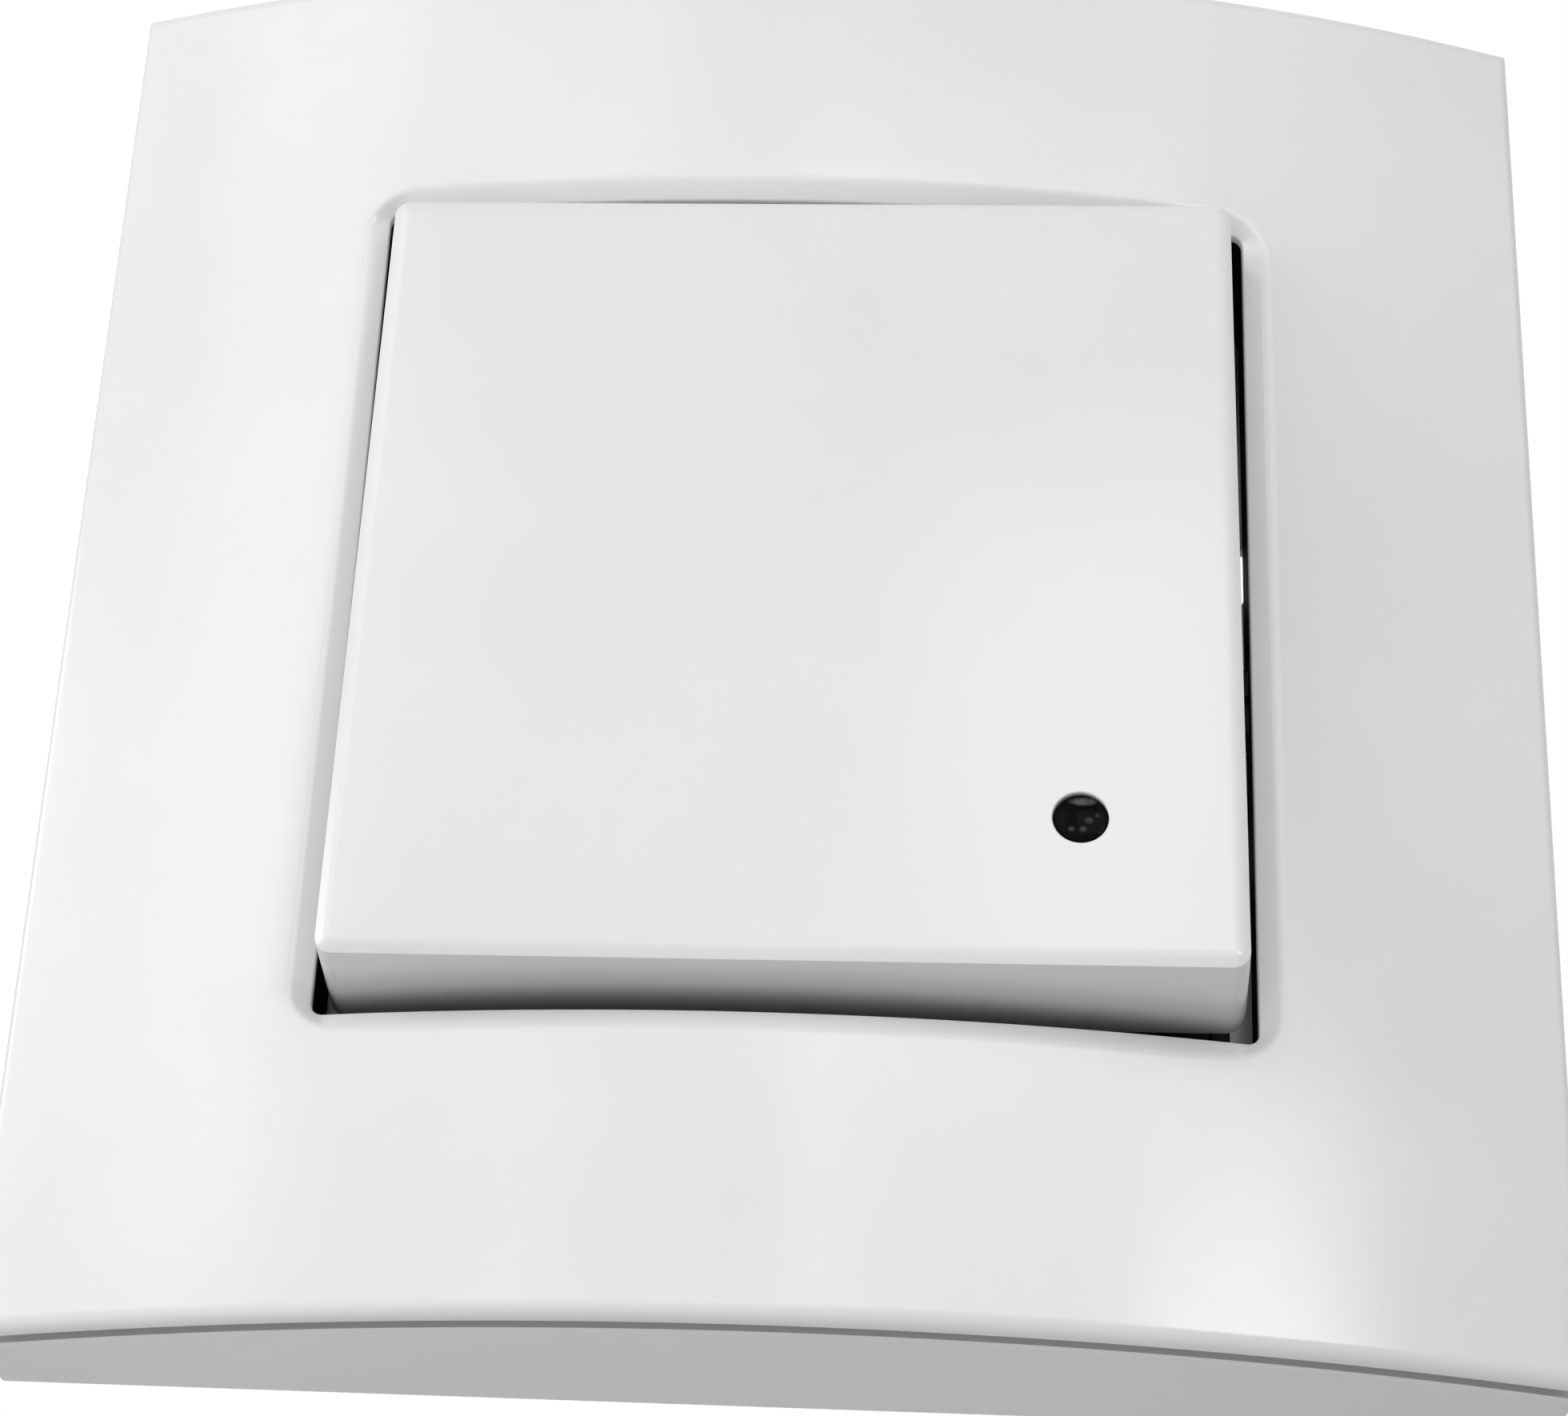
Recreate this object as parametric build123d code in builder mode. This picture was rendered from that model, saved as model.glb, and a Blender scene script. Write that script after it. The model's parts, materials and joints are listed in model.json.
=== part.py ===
from build123d import *
from math import cos, radians, sin, sqrt, tan
import os

# A flush wall timer switch: a push key in an arched cover frame, on an insert that sits in a wall box.
# X points right and Z up, seen from the room. The wall plane is Y = 0 and the room lies towards -Y.
# Sizes are millimetres. A height is measured from the wall plane towards the room.

# Clearances
touch_gap = 0.05
running_gap = 0.05
fit_gap = 0.3
# How far a cut runs past the face that it opens
overrun = 1.0

# Cover frame
frame_size = 82.0
frame_side_height = 9.0
frame_crest_height = 16.1
frame_wall = 2.0
frame_end_radius = 0.9
frame_side_radius = 0.4
frame_groove_width = 1.2
frame_groove_depth = 0.6
key_gap = 0.7
opening_corner = 1.3
lip_width = 1.15
lip_depth = 0.75
lip_radius = 1.2
lip_edge_radius = 0.25
collar_wall = 1.6
snap_arm_thickness = 1.2
snap_arm_width = 3.0
snap_arm_spacing = 18.0
snap_arm_reach = 1.9
snap_hook_depth = 0.8

# Key cap: the key hangs on its carrier's pins and stands tilted until it is pressed
key_tilt = 3.2
key_axis_up = 18.5
key_axis_height = 4.2
cap_size = 47.9
cap_draft = 2.0
cap_corner = 1.2
cap_edge_radius = 1.1
cap_top = 1.8
cap_wall = 1.6
cap_depth = 9.2
cap_rear_chamfer = 1.0
cap_proud = 0.35
cap_drop = 0.15
# The cap sits a little askew in the play of its snap legs
cap_roll = 2.0
cap_shift = -0.25
cap_leg_inset = 4.5
cap_leg_spacing_y = 20.0
cap_leg_width = 4.0
cap_leg_thickness = 1.4
cap_hook_depth = 0.8
cap_hook_length = 1.2
cap_rib_inset = 2.5
cap_rib_length = 26.0
cap_rib_thickness = 1.2

# Indicator
indicator_x = 15.3
indicator_y = -15.6
indicator_hole_radius = 1.45
lens_radius = 2.2
lens_length = 2.6
lens_crown = 0.35
lens_boss_wall = 0.95
lens_boss_depth = 3.0

# Key carrier
carrier_side_gap = 1.7
carrier_corner = 2.0
carrier_thickness = 1.8
carrier_top_gap = 2.7
carrier_arm_inset = 1.3
carrier_arm_thickness = 2.0
carrier_arm_radius = 2.6
pivot_pin_radius = 1.5
carrier_rib_spacing = 20.0
carrier_rib_length = 32.0
carrier_rib_thickness = 1.2
carrier_rib_depth = 1.6
carrier_window_width = 14.0
carrier_window_height = 9.0
carrier_window_x = 5.0
carrier_window_y = -10.5
light_window_radius = 3.0
latch_spacing = 16.0
latch_up = -17.5
latch_width = 4.0
latch_thickness = 1.4
latch_hook_depth = 0.9
latch_hook_length = 1.3
latch_hook_flat = 0.3
pusher_x = -6.0
pusher_up = 4.0
pusher_radius = 1.8
pusher_end_height = 1.5

# Return spring
spring_x = 4.0
spring_up = -10.0
spring_radius = 2.35
spring_wire = 0.5
spring_turns = 5
spigot_radius = 1.6
spigot_length = 1.8

# Front plate
plate_side_gap = 0.65
plate_corner = 2.0
plate_thickness = 1.6
plate_rim_height = 0.8
plate_rim_width = 1.0
bearing_thickness = 1.8
bearing_radius = 2.6
finger_spacing = 25.0
finger_width = 4.0
finger_thickness = 1.2
finger_reach = 5.4
finger_hook_depth = 0.8
finger_hook_length = 1.6
pusher_hole_radius = 3.0

# Support ring
ring_margin = 3.5
ring_corner = 6.0
ring_thickness = 1.0
ring_overlap = 1.5
box_screw_spacing = 60.0
box_screw_hole_radius = 2.1
fixing_slot_length = 6.5
fixing_slot_width = 3.2
fixing_slot_inset = 6.5
link_notch_width = 5.0
link_notch_depth = 1.4
link_notch_spacing = 34.0

# Spreading claws
claw_side_gap = 2.3
claw_pivot_depth = 2.6
claw_swing = 32.0
claw_width = 9.0
claw_sheet = 1.2
claw_barrel_radius = 1.3
claw_trunnion_radius = 0.8
claw_arm_length = 7.6
claw_leg_length = 16.8
claw_slot_length = 13.5
claw_tip_reach = 3.6
claw_tooth_pitch = 1.8
claw_ear_sheet = 1.0
claw_ear_gap = 0.5
claw_ear_radius = 1.7
claw_screw_offset = 3.9
claw_screw_radius = 1.25
claw_screw_length = 14.4
claw_screw_head_radius = 2.5
claw_screw_head_height = 1.6
claw_screw_head_chamfer = 0.4
claw_screw_slot_length = 3.2
claw_nut_size = 4.8
claw_nut_thickness = 2.2
driver_slot_width = 0.85

# Rear housing
housing_width = 40.0
housing_height = 46.0
housing_depth = 24.0
housing_corner = 5.0
housing_wall = 1.6
housing_rear_chamfer = 1.0
board_post_radius = 1.5
board_post_inset = 2.4

# Control board
board_depth = 6.0
board_thickness = 1.6

# Push switch
switch_size = 6.2
switch_height = 3.6
switch_corner = 0.6
switch_rivet_inset = 0.7
switch_rivet_radius = 0.35
switch_rivet_height = 0.3
plunger_radius = 1.75
plunger_crown = 0.5
plunger_insertion = 1.7
switch_bore_depth = 2.8

# Time dial
dial_up = -8.0
trimmer_side_gap = 1.4
trimmer_size = 10.0
trimmer_height = 4.0
trimmer_corner = 0.8
dial_radius = 3.2
dial_top_height = 1.9
dial_shaft_radius = 2.0
dial_shaft_length = 3.0
dial_start_angle = 225.0
dial_chamfer = 0.3
dial_slot_length = 4.2
dial_slot_width = 0.9
dial_slot_depth = 1.2

# Indicator light
led_radius = 1.5
led_flange_radius = 1.8
led_flange_height = 1.0
led_length = 5.4
guide_radius = 1.6
guide_top_height = 9.2
guide_collar_radius = 2.3
guide_collar_height = 0.8
guide_boss_radius = 2.9
guide_boss_height = 2.0

# Terminals
terminal_corner_gap = 2.0
terminal_partition = 1.2
terminal_width = 6.8
terminal_height = 8.0
terminal_length = 7.0
terminal_wall = 1.0
terminal_corner = 0.6
terminal_floor_gap = 0.3
terminal_screw_radius = 1.7
terminal_screw_head_radius = 2.6
terminal_screw_head_height = 1.5
terminal_screw_length = 3.6
terminal_screw_slot_length = 3.9
terminal_screw_slot_depth = 0.75
terminal_screw_hole_radius = 3.0
wire_hole_radius = 1.6
wire_hole_up = -15.8
contact_bar_width = 3.0
contact_bar_thickness = 0.8

# Components on the back of the board, placed from its nearest edges or midway between neighbours
lead_radius = 0.3
moulding_corner = 0.5
moulding_edge = 0.3
relay_width = 19.0
relay_height = 10.0
relay_depth = 12.6
relay_from_top = 9.0
film_capacitor_width = 12.6
film_capacitor_height = 6.0
film_capacitor_depth = 11.5
film_capacitor_from_left = 6.8
rectifier_width = 8.4
rectifier_height = 6.4
rectifier_depth = 3.3
fuse_radius = 4.2
fuse_depth = 7.8
fuse_chamfer = 0.5
fuse_from_left = 6.1
fuse_from_bottom = 15.1
capacitor_radius = 4.0
capacitor_length = 11.5
capacitor_groove = 0.35
capacitor_groove_from_board = 1.05
capacitor_from_right = 5.3
varistor_radius = 3.7
varistor_thickness = 3.4
varistor_chamfer = 0.85
varistor_lead_spacing = 5.2
varistor_stand_off = 1.0
varistor_from_left = 6.6
varistor_from_top = 8.1
regulator_radius = 2.3
regulator_height = 4.6
regulator_stand_off = 2.0
regulator_from_bottom = 14.6
resistor_radius = 1.8
resistor_length = 9.0
resistor_chamfer = 0.6
resistor_lead_reach = 1.2
resistor_from_right = 9.6
resistor_from_bottom = 13.6

# Components on the front of the board
chip_width = 4.9
chip_height = 3.9
chip_thickness = 1.5
chip_stand_off = 0.15
chip_lead_pitch = 1.27
chip_lead_width = 0.45
chip_lead_length = 1.1
chip_from_right = 10.1
chip_from_top = 13.1
small_chip_length = 2.0
small_chip_width = 1.25
small_resistor_thickness = 0.6
small_resistor_pitch_x = 3.2
small_resistor_pitch_y = 2.4
small_resistors_from_right = 9.1
small_resistors_from_bottom = 19.6
small_capacitor_thickness = 1.2
small_capacitor_pitch = 4.0
small_capacitors_from_right = 19.1
small_capacitors_from_top = 8.1

# Sizes, levels and places that these give
opening_size = cap_size + 2 * key_gap
cap_rear_size = cap_size + 2 * cap_depth * tan(radians(cap_draft))
cap_rear_corner = cap_corner + cap_depth * tan(radians(cap_draft))
plate_size = opening_size - 2 * plate_side_gap
ring_size = frame_size - 2 * (frame_wall + ring_margin)
carrier_size = cap_size - 2 * (cap_wall + carrier_side_gap)
carrier_arm_inside = carrier_size / 2 - carrier_arm_inset - carrier_arm_thickness
cap_leg_spacing_x = carrier_size - 2 * cap_leg_inset
cap_rib_spacing = carrier_size - 2 * cap_rib_inset
frame_half = frame_size / 2
frame_rise = frame_crest_height - frame_side_height
arch_radius = (frame_half**2 + frame_rise**2) / (2 * frame_rise)
arch_centre_height = frame_crest_height - arch_radius
opening_half = opening_size / 2
collar_rear_height = ring_thickness + fit_gap
plate_top_height = ring_thickness + plate_thickness
board_rear_depth = board_depth + board_thickness
housing_inner_width = housing_width - 2 * housing_wall
housing_inner_height = housing_height - 2 * housing_wall
housing_inner_corner = housing_corner - housing_wall
housing_floor_depth = housing_depth - housing_wall
board_post_x = housing_inner_width / 2 - board_post_inset
board_post_up = housing_inner_height / 2 - board_post_inset
board_half_width = housing_inner_width / 2 - fit_gap
board_half_height = housing_inner_height / 2 - fit_gap
claw_pivot_x = housing_width / 2 + claw_side_gap
claw_screw_x = claw_pivot_x + claw_screw_offset
dial_x = -housing_inner_width / 2 + trimmer_side_gap + trimmer_size / 2


def front(height):
    # A plane parallel to the wall, at a height above it, that faces the room
    return Plane.XZ.offset(height)


def arch_height(x, inset=0.0):
    return arch_centre_height + sqrt((arch_radius - inset) ** 2 - x**2)


def arch_face(frame):
    return frame.faces().filter_by(GeomType.CYLINDER).sort_by(SortBy.AREA)[-1]


# The key's own plane lies through its pivot axis and is tilted with the key.
# The side plane stands across it, so its axes are the key's own up and outward directions.
tilt_cos = cos(radians(key_tilt))
tilt_sin = sin(radians(key_tilt))
key_plane = Plane(
    origin=(0, -key_axis_height, key_axis_up), x_dir=(1, 0, 0), z_dir=(0, -tilt_cos, tilt_sin)
)
key_side_plane = Plane(origin=key_plane.origin, x_dir=key_plane.y_dir, z_dir=(1, 0, 0))

cap_face_level = frame_crest_height + cap_proud - key_axis_height
cap_centre_y = -cap_drop - key_axis_up
roll_cos = cos(radians(cap_roll))
roll_sin = sin(radians(cap_roll))
cap_plane = Plane(
    origin=key_plane.from_local_coords(Vector(cap_shift, cap_centre_y, cap_face_level)),
    x_dir=key_plane.x_dir * roll_cos + key_plane.z_dir * roll_sin,
    z_dir=key_plane.z_dir * roll_cos - key_plane.x_dir * roll_sin,
)

carrier_top_level = cap_face_level - cap_top - carrier_top_gap
carrier_rear_level = carrier_top_level - carrier_thickness


# Cover frame: an arched shell with a collar round its opening
with BuildPart() as frame_cavity:
    with BuildSketch(Plane.XY):
        with BuildLine():
            inner_half = frame_half - frame_wall
            inner_side = arch_height(inner_half, frame_wall)
            ThreePointArc(
                (-inner_half, -inner_side),
                (0, -(frame_crest_height - frame_wall)),
                (inner_half, -inner_side),
            )
            Polyline(
                (inner_half, -inner_side),
                (inner_half, overrun),
                (-inner_half, overrun),
                (-inner_half, -inner_side),
            )
        make_face()
    extrude(amount=frame_half - frame_wall, both=True)
    with BuildSketch(front(collar_rear_height)):
        collar_size = opening_size + 2 * collar_wall
        RectangleRounded(collar_size, collar_size, opening_corner + collar_wall)
    extrude(amount=frame_crest_height, mode=Mode.SUBTRACT)

# A groove that runs round the walls just behind the rounded edges
with BuildPart() as frame_groove:
    with BuildSketch(Plane.XY):
        with BuildLine():
            groove_front = frame_end_radius
            groove_rear = frame_end_radius + frame_groove_width
            ThreePointArc(
                (-frame_half, -arch_height(frame_half, groove_front)),
                (0, groove_front - frame_crest_height),
                (frame_half, -arch_height(frame_half, groove_front)),
            )
            Line(
                (frame_half, -arch_height(frame_half, groove_front)),
                (frame_half, -arch_height(frame_half, groove_rear)),
            )
            ThreePointArc(
                (frame_half, -arch_height(frame_half, groove_rear)),
                (0, groove_rear - frame_crest_height),
                (-frame_half, -arch_height(frame_half, groove_rear)),
            )
            Line(
                (-frame_half, -arch_height(frame_half, groove_rear)),
                (-frame_half, -arch_height(frame_half, groove_front)),
            )
        make_face()
    extrude(amount=frame_half, both=True)
    with BuildSketch(front(0)):
        groove_core = frame_size - 2 * frame_groove_depth
        Rectangle(groove_core, groove_core)
    extrude(amount=frame_crest_height, mode=Mode.SUBTRACT)

with BuildPart() as snap_arms:
    arm_outside = opening_half + collar_wall
    arm_inside = arm_outside - snap_arm_thickness
    for side in (-1, 1):
        with BuildSketch(Plane.XY.offset(side * snap_arm_spacing / 2)):
            with BuildLine():
                Polyline(
                    (arm_inside, -collar_rear_height - frame_wall),
                    (arm_outside, -collar_rear_height - frame_wall),
                    (arm_outside, touch_gap),
                    (arm_outside + snap_hook_depth, touch_gap + snap_hook_depth / 2),
                    (arm_outside, snap_arm_reach),
                    (arm_inside, snap_arm_reach),
                    close=True,
                )
            make_face()
        extrude(amount=snap_arm_width / 2, both=True)
    mirror(about=Plane.YZ)

with BuildPart() as cover_frame:
    with BuildSketch(Plane.XY):
        with BuildLine():
            ThreePointArc(
                (-frame_half, -frame_side_height),
                (0, -frame_crest_height),
                (frame_half, -frame_side_height),
            )
            Polyline(
                (frame_half, -frame_side_height),
                (frame_half, 0),
                (-frame_half, 0),
                (-frame_half, -frame_side_height),
            )
        make_face()
    extrude(amount=frame_half, both=True)
    end_arcs = cover_frame.edges().filter_by(GeomType.CIRCLE)
    fillet(end_arcs, radius=frame_end_radius)
    side_lines = cover_frame.edges().filter_by(Axis.Z).filter_by_position(
        Axis.Y, -frame_side_height - touch_gap, -frame_side_height + touch_gap
    )
    fillet(side_lines, radius=frame_side_radius)
    add(frame_groove.part, mode=Mode.SUBTRACT)
    add(frame_cavity.part, mode=Mode.SUBTRACT)
    with BuildSketch(front(0)):
        RectangleRounded(opening_size, opening_size, opening_corner)
    extrude(amount=frame_crest_height + overrun, mode=Mode.SUBTRACT)
    # A lip that slopes into the opening, rounded where it leaves the arch and at its inner edge
    rim_low = arch_height(opening_half) - touch_gap
    rim = cover_frame.edges().filter_by(
        lambda edge: -edge.bounding_box().max.Y > rim_low
        and max(abs(edge.center().X), abs(edge.center().Z)) < opening_half + touch_gap
    )
    chamfer(rim, length=lip_width, length2=lip_depth, reference=arch_face(cover_frame))
    fillet(arch_face(cover_frame).inner_wires()[0].edges(), radius=lip_radius)
    opening_walls = cover_frame.faces().filter_by(
        lambda face: max(face.bounding_box().max.X, -face.bounding_box().min.X) < opening_half + touch_gap
        and max(face.bounding_box().max.Z, -face.bounding_box().min.Z) < opening_half + touch_gap
    )
    inner_rim = [wall.edges().sort_by(Axis.Y)[0] for wall in opening_walls]
    fillet(inner_rim, radius=lip_edge_radius)
    # Notches in the collar leave room for the heads of the claw screws
    with BuildSketch(front(0)):
        with Locations((-claw_screw_x, 0), (claw_screw_x, 0)):
            Rectangle(
                2 * (claw_screw_head_radius + fit_gap), 2 * (claw_screw_head_radius + fit_gap)
            )
    extrude(amount=ring_thickness + claw_screw_head_height + fit_gap, mode=Mode.SUBTRACT)
    add(snap_arms.part)
cover_frame.part.label = "cover_frame"


# Key cap: a flat top with a skirt, snap legs and a boss for the lens
cap_hook_level = (
    cap_face_level
    - carrier_rear_level
    + touch_gap
    + roll_sin * (cap_leg_spacing_x + cap_leg_width) / 2
)
cap_rib_depth = (
    cap_face_level
    - carrier_top_level
    - touch_gap
    - roll_sin * (cap_rib_spacing + cap_rib_thickness) / 2
)

with BuildPart() as key_cap:
    with BuildSketch(cap_plane.offset(-cap_depth)):
        RectangleRounded(cap_rear_size, cap_rear_size, cap_rear_corner)
    extrude(amount=cap_depth, taper=cap_draft)
    outward = Axis(cap_plane.origin, cap_plane.z_dir)
    fillet(key_cap.faces().sort_by(outward)[-1].edges(), radius=cap_edge_radius)
    chamfer(key_cap.faces().sort_by(outward)[0].edges(), length=cap_rear_chamfer)
    with BuildSketch(cap_plane.offset(-cap_depth)):
        Rectangle(cap_size - 2 * cap_wall, cap_size - 2 * cap_wall)
    extrude(amount=cap_depth - cap_top, mode=Mode.SUBTRACT)
    # Snap legs, each with a hook that faces up or down
    for side in (-1, 1):
        with BuildSketch(cap_plane.offset(-cap_hook_level - cap_hook_length)):
            with GridLocations(cap_leg_spacing_x, 0, 2, 1):
                with Locations((0, side * cap_leg_spacing_y / 2)):
                    Rectangle(cap_leg_width, cap_leg_thickness)
        extrude(amount=cap_hook_level + cap_hook_length - cap_top)
        with BuildSketch(cap_plane.offset(-cap_hook_level - cap_hook_length)):
            with GridLocations(cap_leg_spacing_x, 0, 2, 1):
                with Locations((0, side * (cap_leg_spacing_y + cap_hook_depth) / 2)):
                    Rectangle(cap_leg_width, cap_leg_thickness + cap_hook_depth)
        extrude(amount=cap_hook_length)
    # Ribs that rest on the carrier
    with BuildSketch(cap_plane.offset(-cap_rib_depth)):
        with GridLocations(cap_rib_spacing, 0, 2, 1):
            Rectangle(cap_rib_thickness, cap_rib_length)
    extrude(amount=cap_rib_depth - cap_top)
    # Boss for the lens, and the hole above it
    with BuildSketch(cap_plane.offset(-cap_top - lens_boss_depth)):
        with Locations((indicator_x, indicator_y)):
            Circle(lens_radius + lens_boss_wall)
    extrude(amount=lens_boss_depth)
    with BuildSketch(cap_plane.offset(-cap_top - lens_boss_depth)):
        with Locations((indicator_x, indicator_y)):
            Circle(lens_radius + running_gap)
    extrude(amount=lens_boss_depth, mode=Mode.SUBTRACT)
    with BuildSketch(cap_plane.offset(-cap_top)):
        with Locations((indicator_x, indicator_y)):
            Circle(indicator_hole_radius)
    extrude(amount=cap_top, mode=Mode.SUBTRACT)
key_cap.part.label = "key_cap"


# Indicator lens: a plug with a low crown, pushed into the cap's boss from behind
lens_plane = Plane(
    origin=cap_plane.from_local_coords(Vector(indicator_x, indicator_y, -cap_top)),
    x_dir=cap_plane.x_dir,
    z_dir=cap_plane.y_dir,
)
with BuildPart() as indicator_lens:
    with BuildSketch(lens_plane):
        with BuildLine():
            Polyline(
                (0, lens_length),
                (lens_radius, lens_length),
                (lens_radius, 0),
                (indicator_hole_radius, 0),
            )
            TangentArc((0, -lens_crown), (indicator_hole_radius, 0), tangent=(1, 0))
            Line((0, -lens_crown), (0, lens_length))
        make_face()
    revolve(axis=Axis(lens_plane.origin, cap_plane.z_dir))
indicator_lens.part.label = "indicator_lens"


# Key carrier: a plate on two pivot pins, with latch hooks below and a pusher for the switch
latch_y = latch_up - key_axis_up
plate_rear_at_latch = (
    ring_thickness - key_axis_height + (latch_y - latch_thickness / 2 - latch_hook_depth) * tilt_sin
) / tilt_cos
latch_hook_level = plate_rear_at_latch - touch_gap
pusher_y = pusher_up - key_axis_up
pusher_end_level = pusher_end_height - key_axis_height
spring_y = spring_up - key_axis_up
light_x = cap_shift + indicator_x
light_y = cap_centre_y + indicator_y
light_up = key_axis_up + light_y

with BuildPart() as key_carrier:
    with BuildSketch(key_plane.offset(carrier_rear_level)):
        with Locations((0, cap_centre_y)):
            RectangleRounded(carrier_size, carrier_size, carrier_corner)
        with Locations((light_x, light_y)):
            Circle(light_window_radius, mode=Mode.SUBTRACT)
        with Locations((carrier_window_x, carrier_window_y)):
            Rectangle(carrier_window_width, carrier_window_height, mode=Mode.SUBTRACT)
        # Slots that the cap's snap legs hook into
        for side in (-1, 1):
            slot_inside = cap_leg_spacing_y / 2 - cap_leg_thickness / 2 - cap_hook_depth - fit_gap
            slot_outside = cap_leg_spacing_y / 2 + cap_leg_thickness / 2 + fit_gap / 2
            slot_middle = side * (slot_inside + slot_outside) / 2
            with Locations((0, cap_centre_y + slot_middle)):
                with GridLocations(cap_leg_spacing_x, 0, 2, 1):
                    Rectangle(
                        cap_leg_width + 4 * fit_gap, slot_outside - slot_inside, mode=Mode.SUBTRACT
                    )
    extrude(amount=carrier_thickness)
    with BuildSketch(key_plane.offset(carrier_rear_level - carrier_rib_depth)):
        with Locations((0, cap_centre_y)):
            with GridLocations(carrier_rib_spacing, 0, 2, 1):
                Rectangle(carrier_rib_thickness, carrier_rib_length)
    extrude(amount=carrier_rib_depth)
    # Arms down to the pivot axis, and the pins on their outsides
    pin_length = fit_gap + bearing_thickness + fit_gap
    for side in (-1, 1):
        outward_x = side * (carrier_arm_inside + carrier_arm_thickness / 2)
        with BuildSketch(key_side_plane.offset(outward_x)):
            Circle(carrier_arm_radius)
            Rectangle(
                2 * carrier_arm_radius, carrier_rear_level, align=(Align.CENTER, Align.MIN)
            )
        extrude(amount=carrier_arm_thickness / 2, both=True)
        with BuildSketch(key_side_plane.offset(side * (carrier_arm_inside + carrier_arm_thickness))):
            Circle(pivot_pin_radius)
        extrude(amount=side * pin_length)
    # Latch hooks that stop the key behind the front plate
    for side in (-1, 1):
        with BuildSketch(key_side_plane.offset(side * latch_spacing / 2)):
            with BuildLine():
                Polyline(
                    (latch_y - latch_thickness / 2, carrier_rear_level),
                    (latch_y + latch_thickness / 2, carrier_rear_level),
                    (latch_y + latch_thickness / 2, latch_hook_level - latch_hook_length),
                    (latch_y - latch_thickness / 2, latch_hook_level - latch_hook_length),
                    (latch_y - latch_thickness / 2 - latch_hook_depth, latch_hook_level - latch_hook_flat),
                    (latch_y - latch_thickness / 2 - latch_hook_depth, latch_hook_level),
                    (latch_y - latch_thickness / 2, latch_hook_level),
                    close=True,
                )
            make_face()
        extrude(amount=latch_width / 2, both=True)
    with BuildSketch(key_plane.offset(pusher_end_level)):
        with Locations((pusher_x, pusher_y)):
            Circle(pusher_radius)
    extrude(amount=carrier_rear_level - pusher_end_level)
    with BuildSketch(key_plane.offset(carrier_rear_level - spigot_length)):
        with Locations((spring_x, spring_y)):
            Circle(spigot_radius)
    extrude(amount=spigot_length)
key_carrier.part.label = "key_carrier"


# Return spring: a coil between the front plate and the carrier
carrier_height_at_spring = (
    key_axis_height + carrier_rear_level / tilt_cos - (spring_y + spring_radius) * tan(radians(key_tilt))
)
spring_rear = plate_top_height + spring_wire / 2
spring_front = carrier_height_at_spring - spring_wire / 2 - touch_gap
spring_travel = spring_front - spring_rear
with BuildPart() as return_spring:
    with BuildLine() as spring_line:
        Helix(
            pitch=spring_travel / spring_turns,
            height=spring_travel,
            radius=spring_radius,
            center=(spring_x, -spring_rear, spring_up),
            direction=(0, -1, 0),
        )
    with BuildSketch(
        Plane(origin=spring_line.line @ 0, z_dir=spring_line.line % 0)
    ):
        RegularPolygon(radius=spring_wire / 2, side_count=6)
    sweep(path=spring_line.line, is_frenet=True)
return_spring.part.label = "return_spring"


# Front plate: closes the insert and carries the key's bearings
finger_outside = housing_inner_height / 2 - fit_gap
finger_inside = finger_outside - finger_thickness

with BuildPart() as snap_fingers:
    for side in (-1, 1):
        with BuildSketch(Plane.YZ.offset(side * finger_spacing / 2)):
            with BuildLine():
                Polyline(
                    (-plate_top_height + touch_gap, finger_inside),
                    (-plate_top_height + touch_gap, finger_outside),
                    (finger_reach - finger_hook_length, finger_outside),
                    (finger_reach - finger_hook_length, finger_outside + finger_hook_depth),
                    (finger_reach, finger_outside),
                    (finger_reach, finger_inside),
                    close=True,
                )
            make_face()
        extrude(amount=finger_width / 2, both=True)
    mirror(about=Plane.XY)

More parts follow.
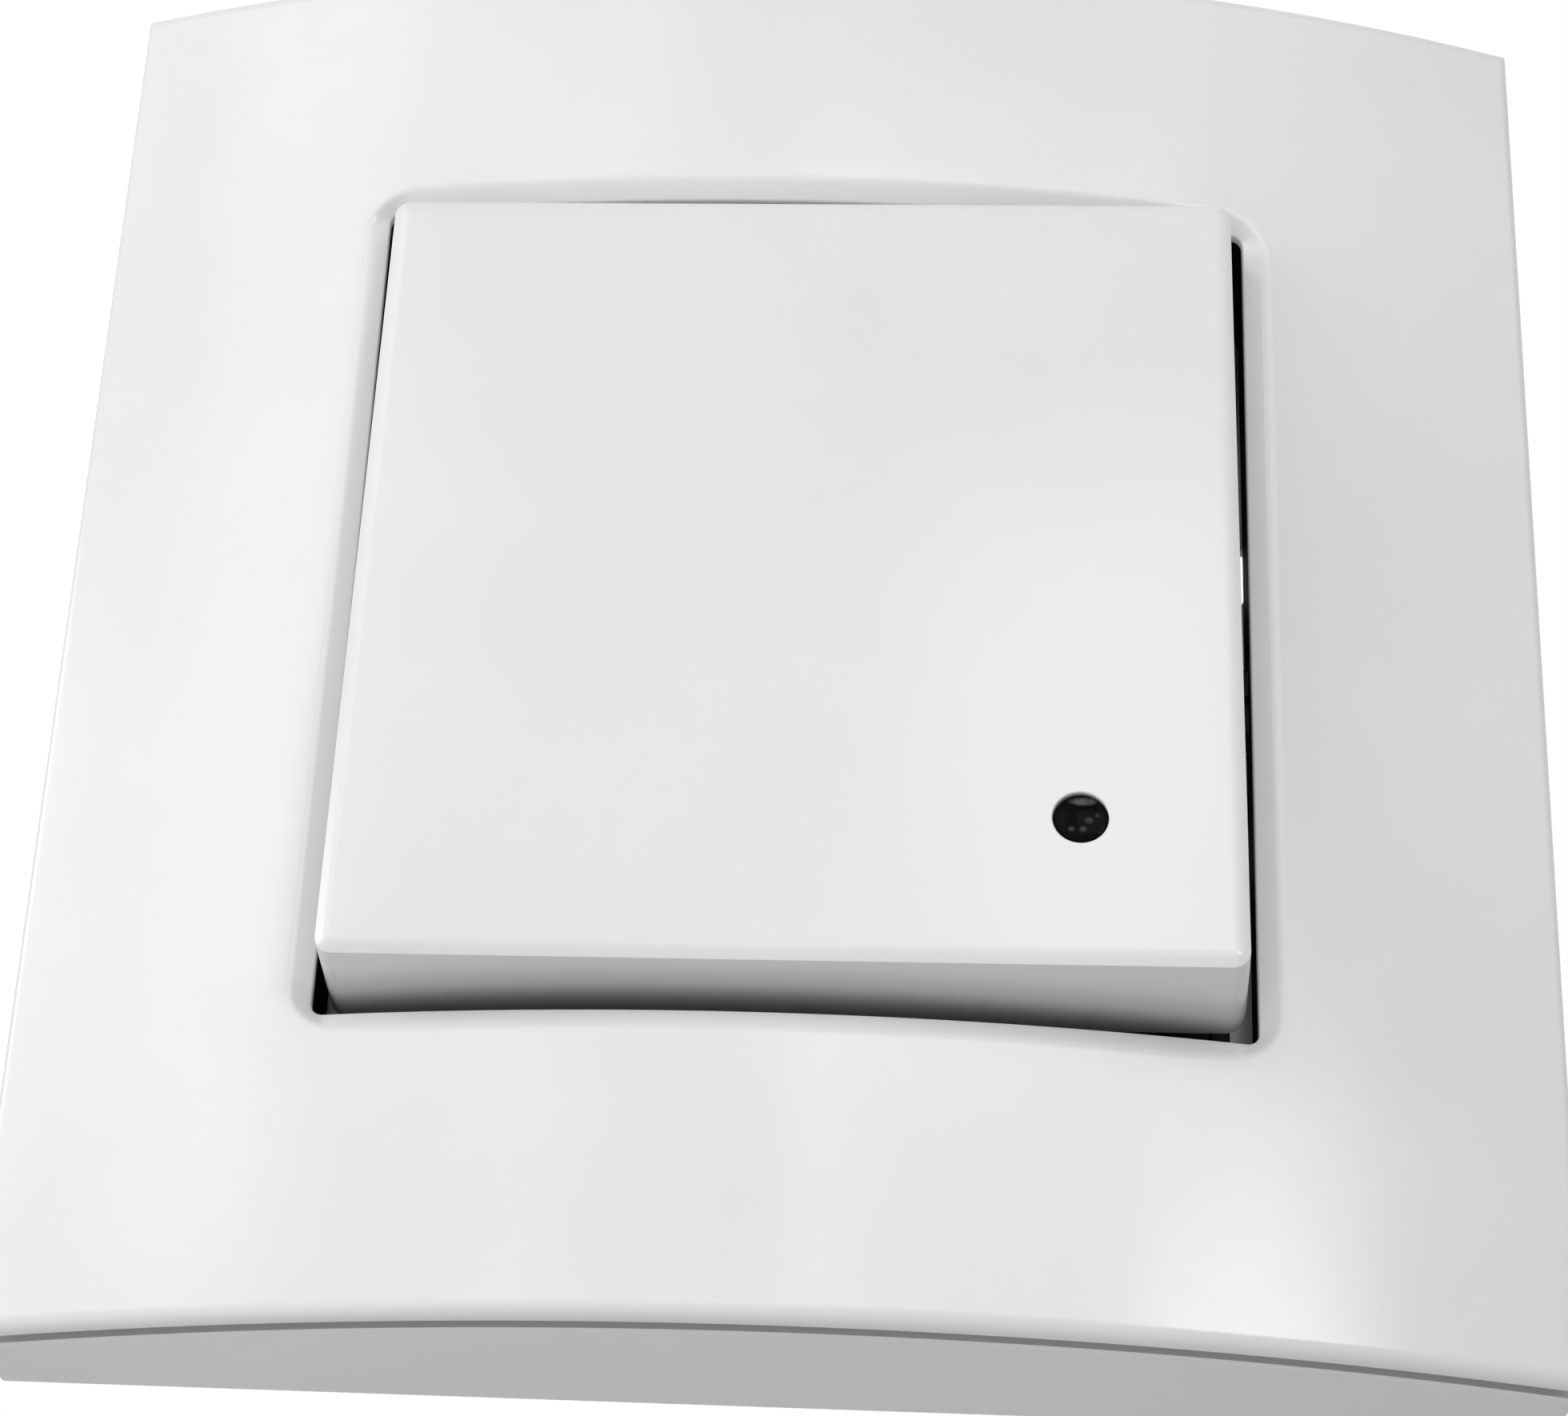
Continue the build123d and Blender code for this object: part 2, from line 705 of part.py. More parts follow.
with BuildPart() as front_plate:
    with BuildSketch(front(ring_thickness)):
        RectangleRounded(plate_size, plate_size, plate_corner)
    extrude(amount=plate_thickness + plate_rim_height)
    with BuildSketch(front(plate_top_height)):
        tray_size = plate_size - 2 * plate_rim_width
        RectangleRounded(tray_size, tray_size, plate_corner - plate_rim_width)
    extrude(amount=plate_rim_height, mode=Mode.SUBTRACT)
    # Bearing ears with bores for the carrier's pins
    for side in (-1, 1):
        ear_inside = carrier_arm_inside + carrier_arm_thickness + fit_gap
        ear_middle = side * (ear_inside + bearing_thickness / 2)
        with BuildSketch(Plane.YZ.offset(ear_middle)):
            with Locations((-key_axis_height, key_axis_up)):
                Circle(bearing_radius)
            with Locations((-(key_axis_height + plate_top_height) / 2, key_axis_up)):
                Rectangle(key_axis_height - plate_top_height, 2 * bearing_radius)
        extrude(amount=bearing_thickness / 2, both=True)
        with BuildSketch(Plane.YZ.offset(ear_middle)):
            with Locations((-key_axis_height, key_axis_up)):
                Circle(pivot_pin_radius + running_gap)
        extrude(amount=bearing_thickness, both=True, mode=Mode.SUBTRACT)
    # Spring spigot and light guide boss
    with BuildSketch(front(plate_top_height)):
        with Locations((spring_x, spring_up)):
            Circle(spigot_radius)
        with Locations((light_x, light_up)):
            Circle(guide_boss_radius)
    extrude(amount=guide_boss_height)
    # Openings for the pusher, the dial, the light guide, the latches and the claw screws
    with BuildSketch(front(0)):
        with Locations((pusher_x, pusher_up)):
            Circle(pusher_hole_radius)
        with Locations((dial_x, dial_up)):
            Circle(dial_radius + fit_gap)
        with Locations((light_x, light_up)):
            Circle(guide_radius + running_gap)
        latch_slot_low = latch_up - latch_thickness / 2 - 2 * fit_gap
        latch_slot_high = latch_up + latch_thickness / 2 + latch_hook_depth
        with Locations((0, (latch_slot_low + latch_slot_high) / 2)):
            with GridLocations(latch_spacing, 0, 2, 1):
                Rectangle(latch_width + 2 * fit_gap, latch_slot_high - latch_slot_low)
        with GridLocations(2 * claw_screw_x, 0, 2, 1):
            Circle(claw_screw_head_radius + fit_gap)
    extrude(amount=plate_top_height + guide_boss_height, mode=Mode.SUBTRACT)
    # Slots that the carrier's arms swing in
    with BuildSketch(front(ring_thickness)):
        with Locations((0, key_axis_up)):
            with GridLocations(2 * carrier_arm_inside + carrier_arm_thickness, 0, 2, 1):
                Rectangle(
                    carrier_arm_thickness + 2 * fit_gap, 2 * (carrier_arm_radius + fit_gap)
                )
    extrude(amount=plate_thickness, mode=Mode.SUBTRACT)
    add(snap_fingers.part)
front_plate.part.label = "front_plate"


# Support ring: a steel plate with the box screw holes and ears bent back for the claws
ear_low = claw_width / 2 + claw_ear_gap

with BuildPart() as support_ring:
    with BuildSketch(front(0)):
        RectangleRounded(ring_size, ring_size, ring_corner)
        Rectangle(
            housing_width - 2 * ring_overlap, housing_height - 2 * ring_overlap, mode=Mode.SUBTRACT
        )
        with GridLocations(0, box_screw_spacing, 1, 2):
            Circle(box_screw_hole_radius, mode=Mode.SUBTRACT)
        with GridLocations(2 * claw_screw_x, 0, 2, 1):
            Circle(claw_screw_radius + fit_gap, mode=Mode.SUBTRACT)
        # Slanted slots for wood screws in the corners, and notches that link one ring to the next
        for across in (-1, 1):
            for along in (-1, 1):
                slot_x = across * (ring_size / 2 - fixing_slot_inset)
                slot_up = along * (ring_size / 2 - fixing_slot_inset)
                with Locations((slot_x, slot_up)):
                    SlotOverall(
                        fixing_slot_length,
                        fixing_slot_width,
                        rotation=-45 * across * along,
                        mode=Mode.SUBTRACT,
                    )
        with GridLocations(ring_size, link_notch_spacing, 2, 2):
            Rectangle(2 * link_notch_depth, link_notch_width, mode=Mode.SUBTRACT)
        # Slots for the cover frame's snap arms
        slot_in = arm_inside - snap_hook_depth
        slot_out = arm_outside + fit_gap / 2
        for side in (-1, 1):
            with Locations((side * (slot_in + slot_out) / 2, 0)):
                with GridLocations(0, snap_arm_spacing, 1, 2):
                    Rectangle(
                        slot_out - slot_in, snap_arm_width + 2 * fit_gap, mode=Mode.SUBTRACT
                    )
    extrude(amount=ring_thickness)
    for side in (-1, 1):
        for end in (-1, 1):
            with BuildSketch(Plane.XY.offset(end * (ear_low + claw_ear_sheet / 2))):
                with Locations((side * claw_pivot_x, claw_pivot_depth)):
                    Circle(claw_ear_radius)
                with Locations((side * claw_pivot_x, claw_pivot_depth / 2)):
                    Rectangle(2 * claw_ear_radius, claw_pivot_depth)
                with Locations((side * claw_pivot_x, claw_pivot_depth)):
                    Circle(claw_trunnion_radius + running_gap, mode=Mode.SUBTRACT)
            extrude(amount=claw_ear_sheet / 2, both=True)
support_ring.part.label = "support_ring"


# Right claw: a forked arm that its nut draws forward, and a leg with teeth that swings out
claw_half = claw_width / 2
claw_tip_depth = claw_pivot_depth + claw_leg_length
arm_x = cos(radians(claw_swing))
arm_y = sin(radians(claw_swing))
nut_half = claw_nut_size / 2
claw_arm_plane = Plane(
    origin=(claw_pivot_x, claw_pivot_depth, 0), x_dir=(arm_x, arm_y, 0), z_dir=(arm_y, -arm_x, 0)
)
claw_leg_plane = Plane(
    origin=(claw_pivot_x, claw_pivot_depth, 0), x_dir=(0, 1, 0), z_dir=(1, 0, 0)
)
claw_tip_plane = Plane(
    origin=(claw_pivot_x, claw_tip_depth - claw_sheet, 0), x_dir=(1, 0, 0), z_dir=(0, 1, 0)
)

with BuildPart() as claw_right:
    with BuildSketch(Plane.XY):
        with Locations((claw_pivot_x, claw_pivot_depth)):
            Circle(claw_barrel_radius)
    extrude(amount=claw_half, both=True)
    with BuildSketch(claw_arm_plane):
        with Locations((claw_arm_length / 2, 0)):
            Rectangle(claw_arm_length, claw_width)
    extrude(amount=claw_sheet / 2, both=True)
    with BuildSketch(claw_arm_plane):
        fork_root = claw_barrel_radius + fit_gap
        fork_end = claw_arm_length + overrun
        with Locations(((fork_root + fork_end) / 2, 0)):
            Rectangle(fork_end - fork_root, 2 * (claw_screw_radius + fit_gap))
    extrude(amount=claw_sheet, both=True, mode=Mode.SUBTRACT)
    with BuildSketch(claw_leg_plane):
        with Locations((claw_leg_length / 2, 0)):
            Rectangle(claw_leg_length, claw_width)
        with Locations(((claw_barrel_radius + claw_slot_length) / 2, 0)):
            Rectangle(
                claw_slot_length - claw_barrel_radius,
                claw_nut_size + 4 * fit_gap,
                mode=Mode.SUBTRACT,
            )
    extrude(amount=claw_sheet / 2, both=True)
    with BuildSketch(claw_tip_plane):
        with Locations((claw_tip_reach / 2, 0)):
            Rectangle(claw_tip_reach, claw_width)
        with Locations((claw_tip_reach, 0)):
            with GridLocations(0, claw_tooth_pitch, 1, int(claw_width / claw_tooth_pitch)):
                RegularPolygon(claw_tooth_pitch / 2, 4, rotation=0, mode=Mode.SUBTRACT)
    extrude(amount=claw_sheet)
    with BuildSketch(Plane.XY):
        with Locations((claw_pivot_x, claw_pivot_depth)):
            Circle(claw_trunnion_radius)
    extrude(amount=ear_low + claw_ear_sheet, both=True)
claw_right.part.label = "claw_right"

with BuildPart() as claw_left:
    mirror(claw_right.part, about=Plane.YZ)
claw_left.part.label = "claw_left"

# Claw nuts: square, seated behind the forked arms
nut_seat_depth = (
    claw_pivot_depth
    + (claw_screw_x - claw_pivot_x + nut_half) * tan(radians(claw_swing))
    + claw_sheet / 2 / arm_x
    + 2 * touch_gap
)
with BuildPart() as claw_nut_right:
    with BuildSketch(front(-nut_seat_depth - claw_nut_thickness)):
        with Locations((claw_screw_x, 0)):
            Rectangle(claw_nut_size, claw_nut_size)
            Circle(claw_screw_radius + running_gap, mode=Mode.SUBTRACT)
    extrude(amount=claw_nut_thickness)
claw_nut_right.part.label = "claw_nut_right"

with BuildPart() as claw_nut_left:
    mirror(claw_nut_right.part, about=Plane.YZ)
claw_nut_left.part.label = "claw_nut_left"

with BuildPart() as claw_screws:
    with BuildSketch(front(-claw_screw_length)):
        with GridLocations(2 * claw_screw_x, 0, 2, 1):
            Circle(claw_screw_radius)
    extrude(amount=claw_screw_length + ring_thickness)
    with BuildSketch(front(ring_thickness)):
        with GridLocations(2 * claw_screw_x, 0, 2, 1):
            Circle(claw_screw_head_radius)
    extrude(amount=claw_screw_head_height)
    head_tops = claw_screws.faces().filter_by(Axis.Y).sort_by(Axis.Y)[:2]
    chamfer(head_tops.edges(), length=claw_screw_head_chamfer)
    with BuildSketch(front(ring_thickness + claw_screw_head_height / 2)):
        with GridLocations(2 * claw_screw_x, 0, 2, 1):
            Rectangle(claw_screw_slot_length, driver_slot_width)
            Rectangle(driver_slot_width, claw_screw_slot_length)
    extrude(amount=claw_screw_head_height, mode=Mode.SUBTRACT)
claw_screws.part.label = "claw_screws"


# Rear housing: a box behind the ring with board posts, wire holes and screw holes
terminal_pitch = housing_width / 2 - housing_corner - terminal_screw_hole_radius - terminal_corner_gap
wire_columns = [-terminal_pitch, 0, terminal_pitch]
terminal_low = -housing_inner_height / 2 + terminal_floor_gap
terminal_centre_depth = housing_floor_depth - terminal_length / 2

with BuildPart() as rear_housing:
    with BuildSketch(front(-housing_depth)):
        RectangleRounded(housing_width, housing_height, housing_corner)
    extrude(amount=housing_depth)
    chamfer(rear_housing.faces().sort_by(Axis.Y)[-1].edges(), length=housing_rear_chamfer)
    with BuildSketch(front(-housing_floor_depth)):
        RectangleRounded(housing_inner_width, housing_inner_height, housing_inner_corner)
    extrude(amount=housing_floor_depth, mode=Mode.SUBTRACT)
    with BuildSketch(front(-housing_floor_depth)):
        with GridLocations(2 * board_post_x, 2 * board_post_up, 2, 2):
            Circle(board_post_radius)
    extrude(amount=housing_floor_depth - board_rear_depth)
    # Partitions between the terminals
    with BuildSketch(front(-housing_floor_depth)):
        with Locations((0, terminal_low + terminal_height / 2)):
            with GridLocations(terminal_pitch, 0, 2, 1):
                Rectangle(terminal_partition, terminal_height + 2 * terminal_floor_gap)
    extrude(amount=terminal_length)
    # Windows that the front plate's fingers hook into
    window_middle = finger_reach - finger_hook_length / 2
    for side in (-1, 1):
        with BuildSketch(Plane.XY.offset(side * (housing_height - housing_wall) / 2)):
            with Locations((0, window_middle)):
                with GridLocations(finger_spacing, 0, 2, 1):
                    Rectangle(finger_width + 2 * fit_gap, finger_hook_length + 2 * fit_gap)
        extrude(amount=housing_wall, both=True, mode=Mode.SUBTRACT)
    # Wire holes in the rear and screw holes underneath
    with BuildSketch(front(-housing_depth)):
        with Locations([(x, wire_hole_up) for x in wire_columns]):
            Circle(wire_hole_radius)
    extrude(amount=housing_wall, mode=Mode.SUBTRACT)
    with BuildSketch(Plane.XY.offset(-(housing_height - housing_wall) / 2)):
        with Locations([(x, terminal_centre_depth) for x in wire_columns]):
            Circle(terminal_screw_hole_radius)
    extrude(amount=housing_wall, both=True, mode=Mode.SUBTRACT)
rear_housing.part.label = "rear_housing"


# Control board
with BuildPart() as control_board:
    with BuildSketch(front(-board_rear_depth)):
        RectangleRounded(2 * board_half_width, 2 * board_half_height, housing_inner_corner)
    extrude(amount=board_thickness)
control_board.part.label = "control_board"


# Push switch: its body on the board, and the plunger that the carrier's pusher works
plunger_top_height = (
    key_axis_height
    - pusher_y * tan(radians(key_tilt))
    + pusher_end_level / tilt_cos
    - touch_gap
)
switch_top_depth = board_depth - switch_height

with BuildPart() as switch_body:
    with BuildSketch(front(-board_depth)):
        with Locations((pusher_x, pusher_up)):
            RectangleRounded(switch_size, switch_size, switch_corner)
    extrude(amount=switch_height)
    with BuildSketch(front(-switch_top_depth)):
        with Locations((pusher_x, pusher_up)):
            rivet_pitch = switch_size - 2 * switch_rivet_inset
            with GridLocations(rivet_pitch, rivet_pitch, 2, 2):
                Circle(switch_rivet_radius)
    extrude(amount=switch_rivet_height)
    with BuildSketch(front(-switch_top_depth)):
        with Locations((pusher_x, pusher_up)):
            Circle(plunger_radius + running_gap)
    extrude(amount=-switch_bore_depth, mode=Mode.SUBTRACT)
switch_body.part.label = "switch_body"

plunger_plane = Plane(
    origin=(pusher_x, -plunger_top_height, pusher_up), x_dir=(1, 0, 0), z_dir=(0, 0, 1)
)
plunger_length = plunger_top_height + switch_top_depth + plunger_insertion
with BuildPart() as switch_plunger:
    with BuildSketch(plunger_plane):
        with BuildLine():
            TangentArc((0, 0), (plunger_radius, plunger_crown), tangent=(1, 0))
            Polyline(
                (plunger_radius, plunger_crown),
                (plunger_radius, plunger_length),
                (0, plunger_length),
                (0, 0),
            )
        make_face()
    revolve(axis=Axis(plunger_plane.origin, (0, 1, 0)))
switch_plunger.part.label = "switch_plunger"


# Time setting: a trimmer on the board and the dial that turns in it
trimmer_top_depth = board_depth - trimmer_height
with BuildPart() as trimmer_body:
    with BuildSketch(front(-board_depth)):
        with Locations((dial_x, dial_up)):
            RectangleRounded(trimmer_size, trimmer_size, trimmer_corner)
    extrude(amount=trimmer_height)
    with BuildSketch(front(-trimmer_top_depth)):
        with Locations((dial_x, dial_up)):
            Circle(dial_shaft_radius + running_gap)
    extrude(amount=-dial_shaft_length - touch_gap, mode=Mode.SUBTRACT)
trimmer_body.part.label = "trimmer_body"

with BuildPart() as time_dial:
    with BuildSketch(front(-trimmer_top_depth - dial_shaft_length)):
        with Locations((dial_x, dial_up)):
            Circle(dial_shaft_radius)
    extrude(amount=dial_shaft_length + fit_gap)
    with BuildSketch(front(-trimmer_top_depth + touch_gap)):
        with Locations((dial_x, dial_up)):
            Circle(dial_radius)
    extrude(amount=trimmer_top_depth + dial_top_height - touch_gap)
    chamfer(time_dial.faces().sort_by(Axis.Y)[0].edges(), length=dial_chamfer)
    # A driver slot that runs out at one side as the pointer, at the start of its scale
    with BuildSketch(front(dial_top_height - dial_slot_depth)):
        with Locations((dial_x, dial_up)):
            Rectangle(dial_slot_length, dial_slot_width, rotation=dial_start_angle)
            with PolarLocations(dial_radius / 2, 1, start_angle=dial_start_angle):
                Rectangle(dial_radius, dial_slot_width / 2)
    extrude(amount=2 * dial_slot_depth, mode=Mode.SUBTRACT)
time_dial.part.label = "time_dial"


# Indicator light and the guide that carries it through the front plate
led_plane = Plane(origin=(light_x, board_depth, light_up), x_dir=(1, 0, 0), z_dir=(0, 0, -1))
with BuildPart() as indicator_led:
    with BuildSketch(led_plane):
        with BuildLine():
            Polyline(
                (0, 0),
                (led_flange_radius, 0),
                (led_flange_radius, led_flange_height),
                (led_radius, led_flange_height),
                (led_radius, led_length - led_radius),
            )
            RadiusArc((led_radius, led_length - led_radius), (0, led_length), -led_radius)
            Line((0, led_length), (0, 0))
        make_face()
    revolve(axis=Axis(led_plane.origin, (0, 1, 0)))
indicator_led.part.label = "indicator_led"

guide_seat_height = plate_top_height + guide_boss_height
guide_low_height = led_length - board_depth + fit_gap
with BuildPart() as light_guide:
    with BuildSketch(front(guide_low_height)):
        with Locations((light_x, light_up)):
            Circle(guide_radius)
    extrude(amount=guide_top_height - guide_low_height)
    with BuildSketch(front(guide_seat_height)):
        with Locations((light_x, light_up)):
            Circle(guide_collar_radius)
    extrude(amount=guide_collar_height)
light_guide.part.label = "light_guide"


def board_block(x, up, width, height, depth):
    # A moulded component on the back of the board
    with BuildPart() as block:
        with BuildSketch(front(-board_rear_depth)):
            with Locations((x, up)):
                Rectangle(width, height)
        extrude(amount=-depth)
        chamfer(block.edges().filter_by(Axis.Y), length=moulding_corner)
        chamfer(block.faces().sort_by(Axis.Y)[-1].edges(), length=moulding_edge)
    return block.part


# Places on the back of the board
varistor_x = varistor_from_left - board_half_width
varistor_up = board_half_height - varistor_from_top
relay_x = (varistor_x + varistor_radius + board_half_width) / 2
relay_up = board_half_height - relay_from_top
relay_low = relay_up - relay_height / 2
fuse_x = fuse_from_left - board_half_width
fuse_up = fuse_from_bottom - board_half_height
film_capacitor_x = film_capacitor_from_left - board_half_width
film_capacitor_up = (varistor_up - varistor_thickness / 2 + fuse_up + fuse_radius) / 2
resistor_x = board_half_width - resistor_from_right
resistor_up = resistor_from_bottom - board_half_height
resistor_left = resistor_x - resistor_length / 2 - resistor_lead_reach
capacitor_x = board_half_width - capacitor_from_right
capacitor_up = (relay_low + resistor_up + resistor_radius) / 2
regulator_x = (fuse_x + fuse_radius + resistor_left) / 2
regulator_up = regulator_from_bottom - board_half_height
rectifier_x = (film_capacitor_x + film_capacitor_width / 2 + capacitor_x - capacitor_radius) / 2
rectifier_up = (relay_low + regulator_up + regulator_radius) / 2

# Parts of the mains supply on the back of the board
relay = board_block(relay_x, relay_up, relay_width, relay_height, relay_depth)
relay.label = "relay"
film_capacitor = board_block(
    film_capacitor_x,
    film_capacitor_up,
    film_capacitor_width,
    film_capacitor_height,
    film_capacitor_depth,
)
film_capacitor.label = "film_capacitor"
bridge_rectifier = board_block(
    rectifier_x, rectifier_up, rectifier_width, rectifier_height, rectifier_depth
)
bridge_rectifier.label = "bridge_rectifier"

with BuildPart() as fuse:
    with BuildSketch(front(-board_rear_depth)):
        with Locations((fuse_x, fuse_up)):
            Circle(fuse_radius)
    extrude(amount=-fuse_depth)
    chamfer(fuse.faces().sort_by(Axis.Y)[-1].edges(), length=fuse_chamfer)
fuse.part.label = "fuse"

# Electrolytic capacitor: a can with a crimped groove near the board
capacitor_plane = Plane(
    origin=(capacitor_x, board_rear_depth, capacitor_up), x_dir=(1, 0, 0), z_dir=(0, 0, 1)
)
with BuildPart() as electrolytic_capacitor:
    with BuildSketch(capacitor_plane):
        with BuildLine():
            groove_middle = capacitor_groove_from_board + capacitor_groove
            Polyline(
                (0, 0),
                (capacitor_radius, 0),
                (capacitor_radius, groove_middle - capacitor_groove),
                (capacitor_radius - capacitor_groove, groove_middle),
                (capacitor_radius, groove_middle + capacitor_groove),
                (capacitor_radius, capacitor_length - capacitor_groove),
                (capacitor_radius - capacitor_groove, capacitor_length),
                (0, capacitor_length),
                close=True,
            )
        make_face()
    revolve(axis=Axis(capacitor_plane.origin, (0, 1, 0)))
electrolytic_capacitor.part.label = "electrolytic_capacitor"

# Varistor: a coated disc on two leads
with BuildPart() as varistor:
    with BuildSketch(Plane.XY.offset(varistor_up)):
        with Locations((varistor_x, board_rear_depth + varistor_radius + varistor_stand_off)):
            Circle(varistor_radius)
    extrude(amount=varistor_thickness / 2, both=True)
    chamfer(varistor.edges().filter_by(GeomType.CIRCLE), length=varistor_chamfer)
    with BuildSketch(front(-board_rear_depth)):
        with Locations((varistor_x, varistor_up)):
            with GridLocations(varistor_lead_spacing, 0, 2, 1):
                Circle(lead_radius)
    extrude(amount=-varistor_stand_off - varistor_radius)
varistor.part.label = "varistor"

# Voltage regulator: a half-round moulding on three leads
with BuildPart() as voltage_regulator:
    with BuildSketch(front(-board_rear_depth - regulator_stand_off)):
        with Locations((regulator_x, regulator_up)):
            Circle(regulator_radius)
            with Locations((0, -regulator_radius)):
                Rectangle(2 * regulator_radius, regulator_radius, mode=Mode.SUBTRACT)
    extrude(amount=-regulator_height)
    with BuildSketch(front(-board_rear_depth)):
        with Locations((regulator_x, regulator_up)):
            with GridLocations(chip_lead_pitch, 0, 3, 1):
                Rectangle(2 * lead_radius, 2 * lead_radius)
    extrude(amount=-regulator_stand_off)
voltage_regulator.part.label = "voltage_regulator"

# Dropper resistor: it lies on the board with both leads bent down
with BuildPart() as dropper_resistor:
    with BuildSketch(Plane.YZ.offset(resistor_x)):
        with Locations((board_rear_depth + resistor_radius, resistor_up)):
            Circle(resistor_radius)
    extrude(amount=resistor_length / 2, both=True)
    chamfer(dropper_resistor.edges().filter_by(GeomType.CIRCLE), length=resistor_chamfer)
    with BuildSketch(Plane.YZ.offset(resistor_x)):
        with Locations((board_rear_depth + resistor_radius, resistor_up)):
            Circle(lead_radius)
    extrude(amount=resistor_length / 2 + resistor_lead_reach, both=True)
    with BuildSketch(front(-board_rear_depth)):
        with Locations((resistor_x, resistor_up)):
            with GridLocations(resistor_length + 2 * resistor_lead_reach, 0, 2, 1):
                Circle(lead_radius)
    extrude(amount=-resistor_radius)
dropper_resistor.part.label = "dropper_resistor"

# Microcontroller with its gull-wing leads
chip_x = board_half_width - chip_from_right
chip_up = board_half_height - chip_from_top
with BuildPart() as microcontroller:
    with BuildSketch(front(-board_depth + chip_stand_off)):
        with Locations((chip_x, chip_up)):
            Rectangle(chip_width, chip_height)
    extrude(amount=chip_thickness)
    with BuildSketch(front(-board_depth)):
        with Locations((chip_x, chip_up)):
            with GridLocations(chip_lead_pitch, chip_height + chip_lead_length, 4, 2):
                Rectangle(chip_lead_width, chip_lead_length)
    extrude(amount=2 * chip_stand_off)
microcontroller.part.label = "microcontroller"

with BuildPart() as chip_resistors:
    with BuildSketch(front(-board_depth)):
        with Locations(
            (
                board_half_width - small_resistors_from_right,
                small_resistors_from_bottom - board_half_height,
            )
        ):
            with GridLocations(small_resistor_pitch_x, small_resistor_pitch_y, 3, 2):
                Rectangle(small_chip_length, small_chip_width)
    extrude(amount=small_resistor_thickness)
chip_resistors.part.label = "chip_resistors"

with BuildPart() as chip_capacitors:
    with BuildSketch(front(-board_depth)):
        with Locations(
            (
                board_half_width - small_capacitors_from_right,
                board_half_height - small_capacitors_from_top,
            )
        ):
            with GridLocations(small_capacitor_pitch, 0, 3, 1):
                Rectangle(small_chip_length, small_chip_width)
    extrude(amount=small_capacitor_thickness)
chip_capacitors.part.label = "chip_capacitors"


# Terminals: brass cages on the housing floor, their screws underneath, and bars to the board
terminal_up = terminal_low + terminal_height / 2
terminal_names = ["terminal_line", "terminal_neutral", "terminal_load"]
terminals = []
for name, x in zip(terminal_names, wire_columns):
    with BuildPart() as cage:
        with BuildSketch(front(-housing_floor_depth)):
            with Locations((x, terminal_up)):
                RectangleRounded(terminal_width, terminal_height, terminal_corner)
                Rectangle(
                    terminal_width - 2 * terminal_wall,
                    terminal_height - 2 * terminal_wall,
                    mode=Mode.SUBTRACT,
                )
        extrude(amount=terminal_length)
        with BuildSketch(Plane.XY.offset(terminal_low)):
            with Locations((x, terminal_centre_depth)):
                Circle(terminal_screw_radius + running_gap)
        extrude(amount=terminal_wall, mode=Mode.SUBTRACT)
    cage.part.label = name
    terminals.append(cage.part)

with BuildPart() as terminal_screws:
    head_low = terminal_low - touch_gap - terminal_screw_head_height
    with BuildSketch(Plane.XY.offset(head_low)):
        with Locations([(x, terminal_centre_depth) for x in wire_columns]):
            Circle(terminal_screw_head_radius)
    extrude(amount=terminal_screw_head_height)
    with BuildSketch(Plane.XY.offset(head_low)):
        with Locations([(x, terminal_centre_depth) for x in wire_columns]):
            Circle(terminal_screw_radius)
    extrude(amount=terminal_screw_head_height + touch_gap + terminal_screw_length)
    with BuildSketch(Plane.XY.offset(head_low)):
        with Locations([(x, terminal_centre_depth) for x in wire_columns]):
            Rectangle(terminal_screw_slot_length, driver_slot_width)
    extrude(amount=terminal_screw_slot_depth, mode=Mode.SUBTRACT)
terminal_screws.part.label = "terminal_screws"

bar_up = terminal_low + terminal_height - terminal_wall / 2
with BuildPart() as contact_bars:
    with BuildSketch(front(-housing_floor_depth + terminal_length)):
        with Locations([(x, bar_up) for x in wire_columns]):
            Rectangle(contact_bar_width, contact_bar_thickness)
    extrude(amount=housing_floor_depth - terminal_length - board_rear_depth)
contact_bars.part.label = "contact_bars"


built = [
    cover_frame,
    key_cap,
    indicator_lens,
    key_carrier,
    return_spring,
    front_plate,
    support_ring,
    claw_right,
    claw_left,
    claw_nut_right,
    claw_nut_left,
    claw_screws,
    rear_housing,
    control_board,
    switch_body,
    switch_plunger,
    trimmer_body,
    time_dial,
    indicator_led,
    light_guide,
    fuse,
    electrolytic_capacitor,
    varistor,
    voltage_regulator,
    dropper_resistor,
    microcontroller,
    chip_resistors,
    chip_capacitors,
    terminal_screws,
    contact_bars,
]
parts = [piece.part for piece in built] + terminals
parts += [relay, film_capacitor, bridge_rectifier]

os.makedirs("parts", exist_ok=True)
for part in parts:
    export_step(part, f"parts/{part.label}.step")
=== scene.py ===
import json
import math

import bmesh
import bpy
from mathutils import Matrix, Vector


